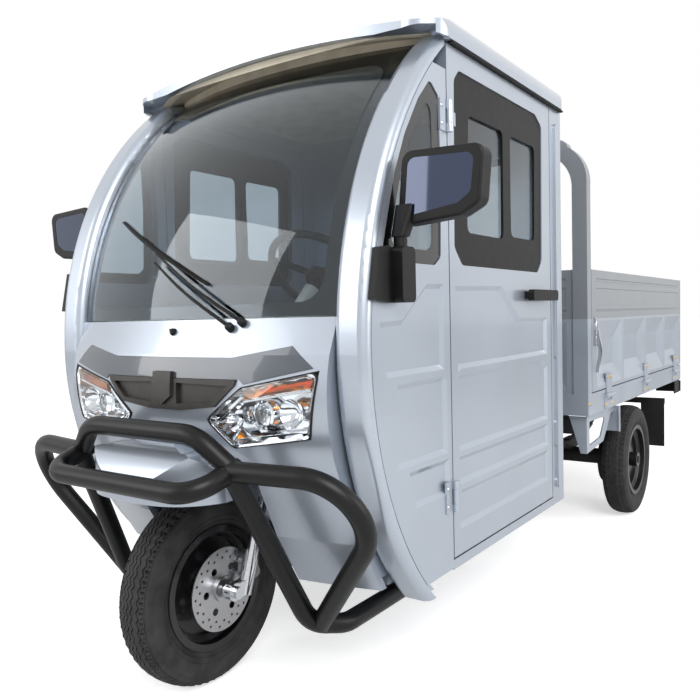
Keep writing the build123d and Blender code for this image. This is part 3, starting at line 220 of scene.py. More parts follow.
def smooth_path(points, count=24):
    """Smooth open curve by way of the points: a cubic blend of each coordinate with its neighbours' slopes."""
    points = np.asarray(points, float)
    slope = np.gradient(points, axis=0)
    at = np.linspace(0, len(points) - 1, count)
    low = np.minimum(at.astype(int), len(points) - 2)
    t = (at - low)[:, None]
    a, b, da, db = points[low], points[low + 1], slope[low], slope[low + 1]
    near = (2 * t**3 - 3 * t**2 + 1) * a + (t**3 - 2 * t**2 + t) * da
    return near + (3 * t**2 - 2 * t**3) * b + (t**3 - t**2) * db


def rounded(corners, radius, steps=6):
    """Closed outline with an arc in each corner, centred on its bisector and swept from tangent to tangent."""
    corner = np.asarray(corners, float)
    back = np.roll(corner, 1, axis=0) - corner
    ahead = np.roll(corner, -1, axis=0) - corner
    lengths = np.minimum(np.linalg.norm(back, axis=1), np.linalg.norm(ahead, axis=1))
    back /= np.linalg.norm(back, axis=1, keepdims=True)
    ahead /= np.linalg.norm(ahead, axis=1, keepdims=True)
    half = np.arccos(np.clip((back * ahead).sum(axis=1), -1, 1)) / 2
    size = np.minimum(radius, 0.45 * lengths * np.tan(half))
    middle = back + ahead
    middle /= np.maximum(np.linalg.norm(middle, axis=1, keepdims=True), 1e-9)
    centre = corner + middle * (size / np.sin(half))[:, None]
    start = corner + back * (size / np.tan(half))[:, None] - centre
    end = corner + ahead * (size / np.tan(half))[:, None] - centre
    share = np.linspace(0, 1, steps)[None, :, None]
    arc = (1 - share) * start[:, None] + share * end[:, None]
    arc *= size[:, None, None] / np.linalg.norm(arc, axis=2, keepdims=True)
    return (centre[:, None] + arc).reshape(-1, 2)


def resampled(outline, count):
    """Closed outline as a number of points at equal steps along it."""
    loop = np.vstack([outline, outline[:1]])
    along = np.concatenate([[0], np.cumsum(np.linalg.norm(np.diff(loop, axis=0), axis=1))])
    at = np.linspace(0, along[-1], count, endpoint=False)
    return np.column_stack([np.interp(at, along, loop[:, 0]), np.interp(at, along, loop[:, 1])])


def on_plane(outline, axis, at):
    """Outline of two coordinates as points on a plane across x, y or z."""
    return np.insert(np.asarray(outline, float), "xyz".index(axis), at, axis=1)


def plate(front, back):
    """Solid between two outlines with the same number of points."""
    return patch(np.stack([back, front]), wrap_columns=True, capped=True)


def block(low, high):
    """Box between two corners."""
    x0, y0, z0 = low
    x1, y1, z1 = high
    loop = [(x0, y0), (x1, y0), (x1, y1), (x0, y1)]
    return plate(on_plane(loop, "z", z1), on_plane(loop, "z", z0))


def dome_bolts(places, axis, size, height):
    """Round heads, each a low dome."""
    rise = np.linspace(0, 1, 5)
    profile = np.column_stack([size * np.cos(rise * 1.3), height * np.sin(rise * 1.3) / math.sin(1.3)])
    return joined([lathe(profile, place, axis, steps=14, closed=False) for place in places])


def add_piece(name, shape, material, body="root", stands_for=(), crease=35.0, bevel=0.0, steps=2):
    """Object with its place in its mesh, in metres, that rides on a body."""
    points, faces = shape
    mesh = bpy.data.meshes.new(name)
    mesh.from_pydata((np.asarray(points) / 1000 + (AXLE_X, 0, 0)).tolist(), [], faces)
    mesh.validate()
    piece = bpy.data.objects.new(name, mesh)
    bpy.context.scene.collection.objects.link(piece)
    tidy = bpy.data.meshes.new(name)
    bm = new_bmesh(mesh)
    bm.to_mesh(tidy)
    bm.free()
    piece.data = tidy
    bpy.data.meshes.remove(mesh)
    tidy.name = name
    tidy.polygons.foreach_set("use_smooth", [True] * len(tidy.polygons))
    tidy.set_sharp_from_angle(angle=math.radians(crease))
    tidy.materials.append(material)
    if bevel:
        edge = piece.modifiers.new("edge", "BEVEL")
        edge.width = bevel / 1000
        edge.segments = steps
        edge.limit_method = "ANGLE"
        edge.angle_limit = math.radians(crease)
        edge.harden_normals = False
    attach(piece, body)
    if stands_for:
        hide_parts(*stands_for)
    return piece


def new_bmesh(mesh):
    """Working copy of a mesh with its doubles merged and its faces turned outwards."""
    bm = bmesh.new()
    bm.from_mesh(mesh)
    bmesh.ops.remove_doubles(bm, verts=bm.verts, dist=1e-6)
    bmesh.ops.recalc_face_normals(bm, faces=bm.faces)
    return bm


# Finishes


def add(tree, kind, values=None, links=None, **settings):
    """Node of a kind, with its settings, its sockets' values and what its sockets are linked to."""
    made = tree.nodes.new(kind)
    for name, value in settings.items():
        setattr(made, name, value)
    for socket, value in (values or {}).items():
        made.inputs[socket].default_value = value
    for socket, source in (links or {}).items():
        tree.links.new(source, made.inputs[socket])
    return made


def new_material(name):
    made = bpy.data.materials.new(name)
    made.use_nodes = True
    made.node_tree.nodes.clear()
    return made, made.node_tree


def close_surface(tree, values, links=None):
    """Shader with its fixed values and its linked patterns, joined to the output."""
    shader = add(tree, "ShaderNodeBsdfPrincipled", values, links)
    add(tree, "ShaderNodeOutputMaterial", links={"Surface": shader.outputs["BSDF"]})


def object_place(tree):
    return add(tree, "ShaderNodeTexCoord").outputs["Object"]


def two_tone(tree, factor, low, high, start=0.3, end=0.7):
    """Colour that runs from low to high as a pattern's factor runs from start to end."""
    ramp = add(tree, "ShaderNodeValToRGB", links={"Fac": factor})
    ramp.color_ramp.elements[0].position = start
    ramp.color_ramp.elements[0].color = low
    ramp.color_ramp.elements[1].position = end
    ramp.color_ramp.elements[1].color = high
    return ramp.outputs["Color"]


def spread(tree, factor, low, high):
    """Number that runs from low to high with a pattern."""
    made = add(tree, "ShaderNodeMapRange", {"To Min": low, "To Max": high}, {"Value": factor})
    return made.outputs["Result"]


def bumped(tree, height, distance, strength=1.0):
    """Normal that follows a height pattern, in millimetres of depth."""
    fixed = {"Distance": distance / 1000, "Strength": strength}
    made = add(tree, "ShaderNodeBump", fixed, {"Height": height})
    return made.outputs["Normal"]


def per_metre(millimetres):
    """Pattern scale whose feature has that real size."""
    return 1000 / millimetres


def silver_lacquer(name, dark, light, roughness, coat):
    """Metallic base coat under clear lacquer on pressed steel: flake, drawn at 3 mm, and orange peel."""
    made, tree = new_material(name)
    place = object_place(tree)
    flake = add(tree, "ShaderNodeTexVoronoi", {"Scale": per_metre(3)}, {"Vector": place})
    cloud = add(tree, "ShaderNodeTexNoise", {"Scale": per_metre(260), "Detail": 3.0}, {"Vector": place})
    peel = add(tree, "ShaderNodeTexNoise", {"Scale": per_metre(9), "Detail": 2.0}, {"Vector": place})
    mixed = add(tree, "ShaderNodeMath", {1: 0.3}, {0: flake.outputs["Distance"]}, operation="MULTIPLY")
    total = add(tree, "ShaderNodeMath", {}, {0: mixed.outputs[0], 1: cloud.outputs["Fac"]}, operation="ADD")
    colour = two_tone(tree, total.outputs[0], dark, light, 0.3, 0.85)
    gloss = spread(tree, cloud.outputs["Fac"], roughness - 0.04, roughness + 0.05)
    normal = bumped(tree, peel.outputs["Fac"], 0.25, 0.25)
    fixed = {"Metallic": 0.72, "Coat Weight": coat, "Coat Roughness": 0.08}
    close_surface(tree, fixed, {"Base Color": colour, "Roughness": gloss, "Normal": normal})
    return made


def board_lacquer(name, dark, light, upper, seam):
    """Silver lacquer of the bed's boards, whose top rail above a height is a darker grey."""
    made, tree = new_material(name)
    place = object_place(tree)
    cloud = add(tree, "ShaderNodeTexNoise", {"Scale": per_metre(180), "Detail": 4.0}, {"Vector": place})
    peel = add(tree, "ShaderNodeTexNoise", {"Scale": per_metre(7), "Detail": 2.0}, {"Vector": place})
    lower = two_tone(tree, cloud.outputs["Fac"], dark, light)
    height = add(tree, "ShaderNodeSeparateXYZ", links={"Vector": place})
    above = add(tree, "ShaderNodeMath", {1: seam / 1000}, {0: height.outputs["Z"]}, operation="GREATER_THAN")
    colour = add(
        tree, "ShaderNodeMix", {"B": upper}, {"Factor": above.outputs[0], "A": lower}, data_type="RGBA"
    )
    normal = bumped(tree, peel.outputs["Fac"], 0.3, 0.3)
    gloss = spread(tree, cloud.outputs["Fac"], 0.36, 0.48)
    fixed = {"Metallic": 0.55, "Coat Weight": 0.35, "Coat Roughness": 0.15}
    links = {"Base Color": colour.outputs["Result"], "Roughness": gloss, "Normal": normal}
    close_surface(tree, fixed, links)
    return made


def plain_finish(name, low, high, grain, rough, values, depth):
    """Finish whose colour and gloss vary a little over a grain, with a bump of that grain."""
    made, tree = new_material(name)
    place = object_place(tree)
    fine = add(tree, "ShaderNodeTexNoise", {"Scale": per_metre(grain), "Detail": 3.0}, {"Vector": place})
    wide = {"Scale": per_metre(grain * 30), "Detail": 2.0}
    broad = add(tree, "ShaderNodeTexNoise", wide, {"Vector": place})
    colour = two_tone(tree, broad.outputs["Fac"], low, high)
    gloss = spread(tree, broad.outputs["Fac"], rough[0], rough[1])
    normal = bumped(tree, fine.outputs["Fac"], depth, 0.6)
    close_surface(tree, values, {"Base Color": colour, "Roughness": gloss, "Normal": normal})
    return made


def brushed_metal(name, low, high, grain, rough):
    """Bright metal with a lengthwise grain, drawn as stretched noise."""
    made, tree = new_material(name)
    place = object_place(tree)
    shape = add(tree, "ShaderNodeMapping", {"Scale": (1.0, 1.0, 12.0)}, {"Vector": place})
    fixed = {"Scale": per_metre(grain), "Detail": 4.0}
    streak = add(tree, "ShaderNodeTexNoise", fixed, {"Vector": shape.outputs["Vector"]})
    colour = two_tone(tree, streak.outputs["Fac"], low, high)
    gloss = spread(tree, streak.outputs["Fac"], rough[0], rough[1])
    normal = bumped(tree, streak.outputs["Fac"], 0.05, 0.4)
    close_surface(tree, {"Metallic": 1.0}, {"Base Color": colour, "Roughness": gloss, "Normal": normal})
    return made


def clear_glass(name, tint, rough=0.0):
    """Float glass or clear moulding: the tint, a little uneven over 400 mm, darkens what is behind it."""
    made, tree = new_material(name)
    place = object_place(tree)
    drift = add(tree, "ShaderNodeTexNoise", {"Scale": per_metre(400), "Detail": 1.0}, {"Vector": place})
    colour = two_tone(tree, drift.outputs["Fac"], tuple(0.96 * c for c in tint[:3]) + (1.0,), tint)
    fixed = {"Roughness": rough, "Transmission Weight": 1.0, "IOR": 1.45}
    close_surface(tree, fixed, {"Base Color": colour})
    return made


def tyre_rubber(name):
    """Vulcanised carbon-black rubber: dull, with fine mould grain and dust that greys it in patches."""
    made, tree = new_material(name)
    place = object_place(tree)
    grain = add(tree, "ShaderNodeTexNoise", {"Scale": per_metre(2.5), "Detail": 4.0}, {"Vector": place})
    dust = add(tree, "ShaderNodeTexNoise", {"Scale": per_metre(40), "Detail": 5.0}, {"Vector": place})
    colour = two_tone(tree, dust.outputs["Fac"], linear("1B1B1C"), linear("343332"), 0.35, 0.75)
    gloss = spread(tree, dust.outputs["Fac"], 0.62, 0.85)
    normal = bumped(tree, grain.outputs["Fac"], 0.3, 0.5)
    links = {"Base Color": colour, "Roughness": gloss, "Normal": normal}
    close_surface(tree, {"Specular IOR Level": 0.4}, links)
    return made


def seat_vinyl(name):
    """Embossed vinyl over foam: a pebble grain of 2 mm and a soft sheen."""
    made, tree = new_material(name)
    place = object_place(tree)
    pebble = add(tree, "ShaderNodeTexVoronoi", {"Scale": per_metre(2.5)}, {"Vector": place})
    broad = add(tree, "ShaderNodeTexNoise", {"Scale": per_metre(90), "Detail": 3.0}, {"Vector": place})
    colour = two_tone(tree, broad.outputs["Fac"], linear("5B6066"), linear("747A80"))
    normal = bumped(tree, pebble.outputs["Distance"], 0.4, 0.5)
    gloss = spread(tree, broad.outputs["Fac"], 0.45, 0.6)
    close_surface(tree, {"Sheen Weight": 0.15}, {"Base Color": colour, "Roughness": gloss, "Normal": normal})
    return made


MATERIALS = {}


# Finish, common name, dark and light colour, grain in mm, roughness range, shader values, depth in mm.
# Enamels and moulded plastics show a faint grain and an uneven gloss, rubbers are dull and castings rough.
PLAIN_FINISHES = (
    ("frame_black", "black_chassis_enamel", "0B0B0C", "161617", 4, (0.42, 0.6),
     {"Specular IOR Level": 0.35}, 0.15),
    ("tube_black", "black_powder_coat", "050506", "0A0A0B", 1.5, (0.34, 0.44),
     {"Specular IOR Level": 0.28}, 0.06),
    ("trim_black", "black_moulded_plastic", "060607", "0C0C0D", 1.2, (0.42, 0.55),
     {"Specular IOR Level": 0.26}, 0.06),
    ("band_gloss", "gloss_grey_plastic", "3A4048", "464C55", 6, (0.18, 0.26), {"Coat Weight": 0.8}, 0.02),
    ("grille_plastic", "satin_grille_plastic", "221F1D", "302C29", 1.5, (0.35, 0.5), {}, 0.1),
    ("lining", "cream_lining_board", "B9B09D", "CBC2AF", 2, (0.6, 0.8), {}, 0.2),
    ("dash_plastic", "cream_dash_moulding", "C9C2B4", "D8D2C6", 1.8, (0.5, 0.65), {}, 0.15),
    ("rubber", "black_seal_rubber", "0C0C0C", "141414", 1.5, (0.55, 0.7), {"Specular IOR Level": 0.3}, 0.1),
    ("flap_rubber", "mud_flap_rubber", "101010", "1A1A1A", 2.5, (0.5, 0.7),
     {"Specular IOR Level": 0.3}, 0.2),
    ("battery_case", "battery_case_plastic", "1B1C1E", "242629", 2, (0.5, 0.6), {}, 0.12),
    ("rim_black", "black_rim_enamel", "0A0A0C", "131316", 3, (0.3, 0.42), {"Coat Weight": 0.25}, 0.05),
    ("alloy", "sand_cast_alloy", "8F9093", "ADAEB1", 2, (0.4, 0.55), {"Metallic": 1.0}, 0.2),
    ("zinc", "yellow_zinc_plate", "B39A5A", "D0B872", 3, (0.28, 0.4), {"Metallic": 1.0}, 0.05),
    ("axle_black", "black_painted_casting", "0E0E10", "1B1B1D", 3, (0.5, 0.7),
     {"Specular IOR Level": 0.35}, 0.4),
    ("motor_case", "cast_motor_case", "4C4D50", "606165", 3, (0.45, 0.6), {"Metallic": 0.8}, 0.3),
    ("spring_steel", "painted_spring_steel", "202022", "303033", 4, (0.5, 0.65), {}, 0.2),
    ("mirror", "blue_mirror_glass", "1C2A48", "22324F", 40, (0.02, 0.04),
     {"Metallic": 0.6, "Coat Weight": 1.0}, 0.0),
    ("frit", "black_ceramic_frit", "070708", "0C0C0D", 3, (0.12, 0.2), {"Coat Weight": 0.5}, 0.02),
)

# Bare bright metals: finish, common name, dark and light colour, grain in mm, lowest and highest roughness.
BRIGHT_METALS = (
    ("disc_steel", "ground_disc_steel", "9C9C9E", "C4C4C6", 2, (0.22, 0.4)),
    ("bright_steel", "bright_steel", "A8A9AC", "CDCED1", 3, (0.16, 0.3)),
    ("rod_chrome", "hard_chrome", "D2D4D8", "E4E6EA", 8, (0.03, 0.07)),
    ("reflector", "vacuum_metallised_reflector", "DADCE0", "F0F1F3", 12, (0.05, 0.1)),
    ("fork_chrome", "bright_fork_tube", "B9BCC0", "DCDEE2", 6, (0.1, 0.2)),
)

# Finish, its common name, tint and roughness.
CLEAR_FINISHES = (
    ("window_glass", "tinted_window_glass", "B4BDC2", 0.0),
    ("lamp_clear", "clear_lamp_cover", "F2F5F7", 0.01),
    ("lamp_amber", "amber_lamp_moulding", "F08A1A", 0.12),
    ("lamp_red", "red_lamp_moulding", "B8161A", 0.08),
)


def make_materials(settings):
    """All finishes, by the plain name of what they are."""
    paint = np.array([*settings.paint, 1.0])
    made = MATERIALS
    # One silver lacquer in three copies: the cab's copy is darker, as painted shade, and the pillars' and
    # roof's copies are lighter, as painted light.
    made["cab_paint"] = silver_lacquer("silver_lacquer", paint * 0.92, paint, 0.34, 0.7)
    made["pillar_paint"] = silver_lacquer("silver_lacquer_lit_pillars", paint * 0.95, paint * 1.04, 0.33, 0.7)
    made["lit_roof_paint"] = silver_lacquer("silver_lacquer_lit_roof", paint * 0.95, paint * 1.05, 0.32, 0.7)
    made["bed_paint"] = board_lacquer("silver_enamel", paint * 0.88, paint * 0.98, linear("8C9095"), 958)
    for finish, name, low, high, grain, rough, values, depth in PLAIN_FINISHES:
        made[finish] = plain_finish(name, linear(low), linear(high), grain, rough, values, depth)
    for finish, name, low, high, grain, rough in BRIGHT_METALS:
        made[finish] = brushed_metal(name, linear(low), linear(high), grain, rough)
    for finish, name, tint, rough in CLEAR_FINISHES:
        made[finish] = clear_glass(name, linear(tint), rough)
    made["screen_glass"] = clear_glass("laminated_screen_glass", settings.screen_tint[:] + (1.0,))
    made["tyre"] = tyre_rubber("tyre_rubber")
    made["seat_vinyl"] = seat_vinyl("seat_vinyl")


NODE_FINISH = {
    "cab_paint": (
        "nose_panel", "quarter_panels", "front_fender", "door_left", "door_right", "cab_floor", "rear_wall"),
    "pillar_paint": ("arch_pillars",),
    "lit_roof_paint": ("roof",),
    "bed_paint": (
        "bed_floor", "bed_rails", "headboard", "side_board_left", "side_board_right", "tailgate",
        "side_brackets"),
    "frame_black": ("chassis_frame", "cross_members", "front_neck"),
    "fork_chrome": ("front_fork",),
    "tube_black": ("bumper",),
    "trim_black": (
        "steering_wheel", "window_frame_left", "window_frame_right", "mirrors", "wiper", "door_handle_left",
        "door_handle_right", "lamp_housings"),
    "mirror": ("mirror_glass",),
    "band_gloss": ("front_band",),
    "grille_plastic": ("grille",),
    "lining": ("visor",),
    "dash_plastic": ("dashboard",),
    "battery_case": ("battery_pack",),
    "seat_vinyl": ("seat_cushion", "seat_back"),
    "tyre": ("front_tyre", "rear_tyre_left", "rear_tyre_right"),
    "rim_black": ("front_rim", "rear_rim_left", "rear_rim_right"),
    "disc_steel": ("brake_disc",),
    "alloy": ("brake_caliper",),
    "axle_black": ("rear_axle", "lift_barrel"),
    "motor_case": ("drive_motor",),
    "spring_steel": ("leaf_springs",),
    "rod_chrome": ("lift_rod",),
    "flap_rubber": ("rear_flaps",),
    "lamp_red": ("tail_lamps",),
    "screen_glass": ("windscreen",),
    "window_glass": ("quarter_glass", "rear_glass", "door_glass_left", "door_glass_right"),
    "lamp_clear": ("headlamps",),
}


class TricycleSettings(bpy.types.PropertyGroup):
    """Sizes and colours that a user would change."""

    paint: bpy.props.FloatVectorProperty(
        name="Paint", description="Silver of cab and bed", subtype="COLOR", size=3, min=0, max=1,
        default=linear("A9B1BC")[:3])
    screen_tint: bpy.props.FloatVectorProperty(
        name="Screen tint", description="Tint of the windscreen's glass", subtype="COLOR", size=3, min=0,
        max=1, default=linear("C4D1DA")[:3])
    tread_depth: bpy.props.FloatProperty(
        name="Tread depth", description="Depth of the tyres' grooves", unit="LENGTH", min=0.001, max=0.009,
        default=0.006)
    tread_waves: bpy.props.IntProperty(
        name="Tread waves", description="Zigzags round each tyre", min=30, max=120, default=62)
    lens: bpy.props.FloatProperty(
        name="Lens", description="Focal length of the camera on a 36 mm wide sensor", unit="CAMERA", min=10,
        max=200, default=37.35)


class TRICYCLE_OT_finishes(bpy.types.Operator):
    """Gives every carried-over node its finish"""

    bl_idname = "tricycle.finishes"
    bl_label = "Finishes"

    def execute(self, context):
        make_materials(context.scene.tricycle)
        for finish, names in NODE_FINISH.items():
            for name in names:
                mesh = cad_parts[name].data
                mesh.materials.clear()
                mesh.materials.append(MATERIALS[finish])
        return {"FINISHED"}


# Tyres


def tread_tyre(centre_y, x, settings):
    """Tyre as a closed section turned about the axle, whose crown columns run zigzag and are sunk as grooves.

    Point = (x + r·cos a, y + w·tri(n·a), z + r·sin a), where the radius r drops by the depth in grooves and in
    the slots between shoulder blocks."""
    depth = settings.tread_depth * 1000
    waves = settings.tread_waves
    column = np.array([
        (46.8, 0, 0), (45.2, 0, 0), (44.9, 1, 0), (37.5, 1, 0), (37.2, 0, 0), (33.6, 0, 0), (33.3, 0, 1),
        (30.0, 0, 1), (29.7, 0, 0), (15.6, 0, 0), (15.3, 0, 1), (12.0, 0, 1), (11.7, 0, 0), (2.0, 0, 0),
        (1.7, 0, 1),
    ])
    column = np.vstack([column, column[::-1] * (-1, 1, 1)])
    crown_y, slotted, sunk = column.T
    crown_r = TYRE_RADIUS - 0.4 - 13 * (np.abs(crown_y) / 47) ** 2.4
    flank = [(45.4, 247), (50, 243), (54.6, 226), (55.6, 208), (53, 190), (46, 176), (42.4, 169)]
    wall = smooth_path(flank, 14)
    bead = np.array([(42.0, 156.2), (-42.0, 156.2)])
    across = np.concatenate([crown_y, -wall[:, 0], bead[::-1, 0], wall[::-1, 0]])
    radius = np.concatenate([crown_r, wall[:, 1], bead[:, 1], wall[::-1, 1]])
    rest = len(across) - len(crown_y)
    slotted = np.concatenate([slotted, np.zeros(rest)])
    sunk = np.concatenate([sunk, np.zeros(rest)])
    sway = np.concatenate([4.2 * (np.abs(crown_y) < 40), np.zeros(rest)])
    share = np.array([0, 0.06, 0.1, 0.25, 0.5, 0.56, 0.6, 0.75])
    slot = np.array([1, 1, 0, 0, 1, 1, 0, 0])
    phase = (np.arange(waves)[:, None] + share[None, :]).ravel() / waves * 2 * math.pi
    zigzag = np.tile(4 * np.abs(share - 0.5) - 1, waves)[:, None]
    drop = depth * np.maximum(sunk[None, :], slotted[None, :] * np.tile(slot, waves)[:, None])
    r = radius[None, :] - drop
    y = centre_y + across[None, :] + sway[None, :] * zigzag
    grid = np.stack([x + r * np.cos(phase)[:, None], y, WHEEL_Z + r * np.sin(phase)[:, None]], axis=-1)
    return patch(grid, wrap_rows=True, wrap_columns=True)


def wall_ribs(centre_y, x, side):
    """Four fine raised rings on a sidewall."""
    rings = []
    for radius, out in ((236, 51.6), (232, 52.9), (196, 54.6), (182, 50.0)):
        foot, ridge = side * (out - 1), side * (out + 1)
        profile = [(radius + 1.6, foot), (radius, ridge), (radius - 1.6, foot)]
        rings.append(lathe(profile, (x, centre_y, WHEEL_Z), (0, 1, 0), steps=96))
    return joined(rings)


WHEELS = (
    ("front", 0, 0, "front_wheel", "front_tyre"),
    ("rear_left", REAR_WHEEL_Y, REAR_X, "rear_wheel_left", "rear_tyre_left"),
    ("rear_right", -REAR_WHEEL_Y, REAR_X, "rear_wheel_right", "rear_tyre_right"),
)


class TRICYCLE_OT_tyres(bpy.types.Operator):
    """Adds the treaded tyres and the rings on their walls"""

    bl_idname = "tricycle.tyres"
    bl_label = "Tyres"

    def execute(self, context):
        settings = context.scene.tricycle
        for label, y, x, body, node in WHEELS:
            rings = [wall_ribs(y, x, 1), wall_ribs(y, x, -1)]
            tyre = joined([tread_tyre(y, x, settings), *rings])
            add_piece(f"{label}_tread", tyre, MATERIALS["tyre"], body, (node,), crease=28)
        return {"FINISHED"}


# Glass borders


def quad_outline(low_y, high_y, low_z, high_z, radius, count=160):
    """Rounded rectangle in (y, z), resampled from its corner."""
    corners = [(low_y, low_z), (high_y, low_z), (high_y, high_z), (low_y, high_z)]
    return resampled(rounded(corners, radius), count)


def screen_border():
    """Printed border behind the screen: a ring between the screen's edge and a rounded opening."""
    outer = quad_outline(-PILLAR_INNER + 1, PILLAR_INNER - 1, SCREEN_LOW + 1, SCREEN_TOP - 1, 4)
    inner = quad_outline(-PILLAR_INNER + 44, PILLAR_INNER - 44, SCREEN_LOW + 34, SCREEN_TOP - 70, 60)
    rings = []
    for outline, depth in ((outer, 1.4), (outer, 0.5), (inner, 0.5), (inner, 1.4)):
        x = screen_x(outline[:, 0], outline[:, 1]) - GLASS - depth
        rings.append(np.column_stack([x, outline]))
    return patch(np.stack(rings), wrap_rows=True, wrap_columns=True)


QUARTER_WINDOW = [(-331, 1142), (-339, 1349), (-334, 1560), (-288, 1592), (-226, 1530), (-158, 1432),
                  (-108, 1332), (-72, 1225), (-48, 1150), (-78, 1120), (-298, 1120)]
QUARTER_CLEAR = [(-292, 1172), (-300, 1349), (-296, 1520), (-272, 1534), (-232, 1488), (-180, 1412),
                 (-140, 1332), (-108, 1236), (-90, 1176), (-106, 1156), (-268, 1156)]


def quarter_border():
    """Printed border on the quarter glass: a ring between the glass's edge and a smaller rounded opening."""
    outer = resampled(rounded(np.array(QUARTER_WINDOW) * 0.995 + (-1, 6.5), 16), 160)
    inner = resampled(rounded(QUARTER_CLEAR, 18), 160)
    front, back = CAB_HALF - 3.4, CAB_HALF - 4.7
    edges = ((outer, back), (outer, front), (inner, front), (inner, back))
    rings = [on_plane(outline, "y", y) for outline, y in edges]
    return both_sides(patch(np.stack(rings), wrap_rows=True, wrap_columns=True))


class TRICYCLE_OT_borders(bpy.types.Operator):
    """Adds the black printed borders of the fixed glass"""

    bl_idname = "tricycle.borders"
    bl_label = "Glass borders"

    def execute(self, context):
        add_piece("screen_border", screen_border(), MATERIALS["frit"])
        add_piece("quarter_borders", quarter_border(), MATERIALS["frit"])
        return {"FINISHED"}


# Headlamps

LAMP_OUTLINE = [(256, 825), (460, 866), (434, 710), (220, 676), (147, 744)]


def lamp_disc(outline, depth, bulge=0.0, rings=8):
    """Crowned sheet over an outline in (y, z): rings that shrink to its middle, at a depth behind the nose."""
    middle = outline.mean(axis=0)
    share = np.linspace(1, 0.02, rings)[:, None, None]
    flat = middle + share * (outline[None] - middle)
    x = nose_x(flat[..., 0], flat[..., 1]) - depth + bulge * (1 - share[..., 0] ** 2)
    return np.concatenate([x[..., None], flat], axis=-1)


def lamp_cover():
    """Clear cover: an outer and an inner crowned sheet, joined at the edge."""
    outline = resampled(rounded(LAMP_OUTLINE, 14), 96)
    outer = lamp_disc(outline, -1.5, 7)
    inner = lamp_disc(outline, 1.5, 7)[::-1]
    return patch(np.concatenate([inner, outer]), wrap_columns=True, capped=True)


def lamp_bowl():
    """Bright bowl: a wall that runs back from the cover's edge and narrows, and a floor."""
    outline = resampled(rounded(LAMP_OUTLINE, 14), 96)
    middle = outline.mean(axis=0)
    rings = []
    for scale, depth in ((0.995, 2), (0.93, 6), (0.88, 30), (0.8, 46), (0.3, 52), (0.02, 52)):
        flat = middle + scale * (outline - middle)
        rings.append(np.column_stack([nose_x(flat[:, 0], flat[:, 1]) - depth, flat]))
    for scale, depth in ((0.02, 55), (0.84, 50), (0.92, 32), (0.995, 6)):
        flat = middle + scale * (outline - middle)
        rings.append(np.column_stack([nose_x(flat[:, 0], flat[:, 1]) - depth, flat]))
    return patch(np.stack(rings), wrap_rows=True, wrap_columns=True)


def lamp_ball(y, z, radius, depth):
    """Projector: a chrome collar and the round lens in it."""
    x = float(nose_x(y, z)) - depth
    turn = np.linspace(0, math.pi / 2, 9)
    ball = np.column_stack([radius * np.cos(turn), radius * 0.7 * np.sin(turn)])
    collar = [(radius + 12, -14), (radius + 9, 6), (radius + 3, 9), (radius + 0.5, 2), (radius + 0.5, -14)]
    ball = np.vstack([ball, [(0.05, radius * 0.7), (0.05, -4), (radius, -4)]])
    return lathe(ball, (x, y, z), (1, 0, 0)), lathe(collar, (x, y, z), (1, 0, 0))


def reflector_cup(y, z, radius, depth):
    """Small parabolic cup: radius grows with the square root of the distance from its base."""
    x = float(nose_x(y, z)) - depth
    share = np.linspace(0.06, 1, 10)
    inner = np.column_stack([radius * share, 26 * share**2])
    outer = np.column_stack([radius * share[::-1] + 1.5, 26 * share[::-1] ** 2 - 1.5])
    return lathe(np.vstack([inner, outer]), (x, y, z), (1, 0, 0), steps=32)


def strip_between(low, high, depth, thick, count=40):
    """Bar along two lines of (y, z) points that follows the nose at a depth behind it."""
    t = np.linspace(0, 1, count)
    low, high = np.asarray(low, float), np.asarray(high, float)
    a = low[0] + t[:, None] * (low[1] - low[0])
    b = high[0] + t[:, None] * (high[1] - high[0])
    edges = []
    for line, back in ((a, depth + thick), (b, depth + thick), (b, depth), (a, depth)):
        edges.append(np.column_stack([nose_x(line[:, 0], line[:, 1]) - back, line]))
    return patch(np.stack(edges, axis=1), wrap_columns=True, capped=True)


class TRICYCLE_OT_headlamps(bpy.types.Operator):
    """Adds the two headlamps with covers, bowls, projectors and strips"""

    bl_idname = "tricycle.headlamps"
    bl_label = "Headlamps"

    def execute(self, context):
        add_piece(
            "lamp_covers", both_sides(lamp_cover()), MATERIALS["lamp_clear"], stands_for=("headlamps",))
        add_piece("lamp_bowls", both_sides(lamp_bowl()), MATERIALS["reflector"])
        ball, collar = lamp_ball(300, 760, 27, 26)
        cup = reflector_cup(382, 766, 34, 40)
        small = reflector_cup(222, 738, 20, 36)
        add_piece("lamp_projectors", both_sides(ball), MATERIALS["lamp_clear"])
        chrome = both_sides(joined([collar, cup, small]))
        add_piece("lamp_reflectors", chrome, MATERIALS["reflector"])
        amber = strip_between([(262, 797), (440, 829)], [(268, 818), (450, 853)], 3, 10)
        add_piece("lamp_amber_strips", both_sides(amber), MATERIALS["lamp_amber"])
        bright = joined([
            strip_between([(258, 789), (438, 820)], [(260, 795), (440, 827)], 6, 16),
            strip_between([(224, 692), (424, 722)], [(222, 698), (424, 728)], 8, 14),
            strip_between([(168, 742), (250, 806)], [(174, 738), (256, 800)], 8, 14),
        ])
        add_piece("lamp_bezels", both_sides(bright), MATERIALS["reflector"], bevel=0.8)
        return {"FINISHED"}


# Wiper


def screen_point(y, z, off):
    """Point that stands off the screen's outer face."""
    return (float(screen_x(y, z)) + off, y, z)


def wiper_arms():
    """Two parallel arms that taper to the blade's clip, on a capped pivot."""
    pivots = ((198, 973), (232, 985))
    clip = (-92, 1150)
    arms = []
    for (y, z), lift in zip(pivots, (0, 26)):
        start = (float(nose_x(y, z)) + 8, y, z)
        middle = screen_point((y + clip[0]) / 2, (z + clip[1] + lift) / 2, 26)
        path = smooth_path([start, middle, screen_point(clip[0], clip[1] + lift, 20)], 20)
        arms.append(swept(disc_section(4.2, 8), path, np.linspace(1.25, 0.8, 20)))
        cap = [(11, -8), (11, 6), (8, 10), (0.1, 11), (0.1, -8)]
        arms.append(lathe(cap, start, (0.8, 0, 0.6), steps=20))
    return joined(arms)


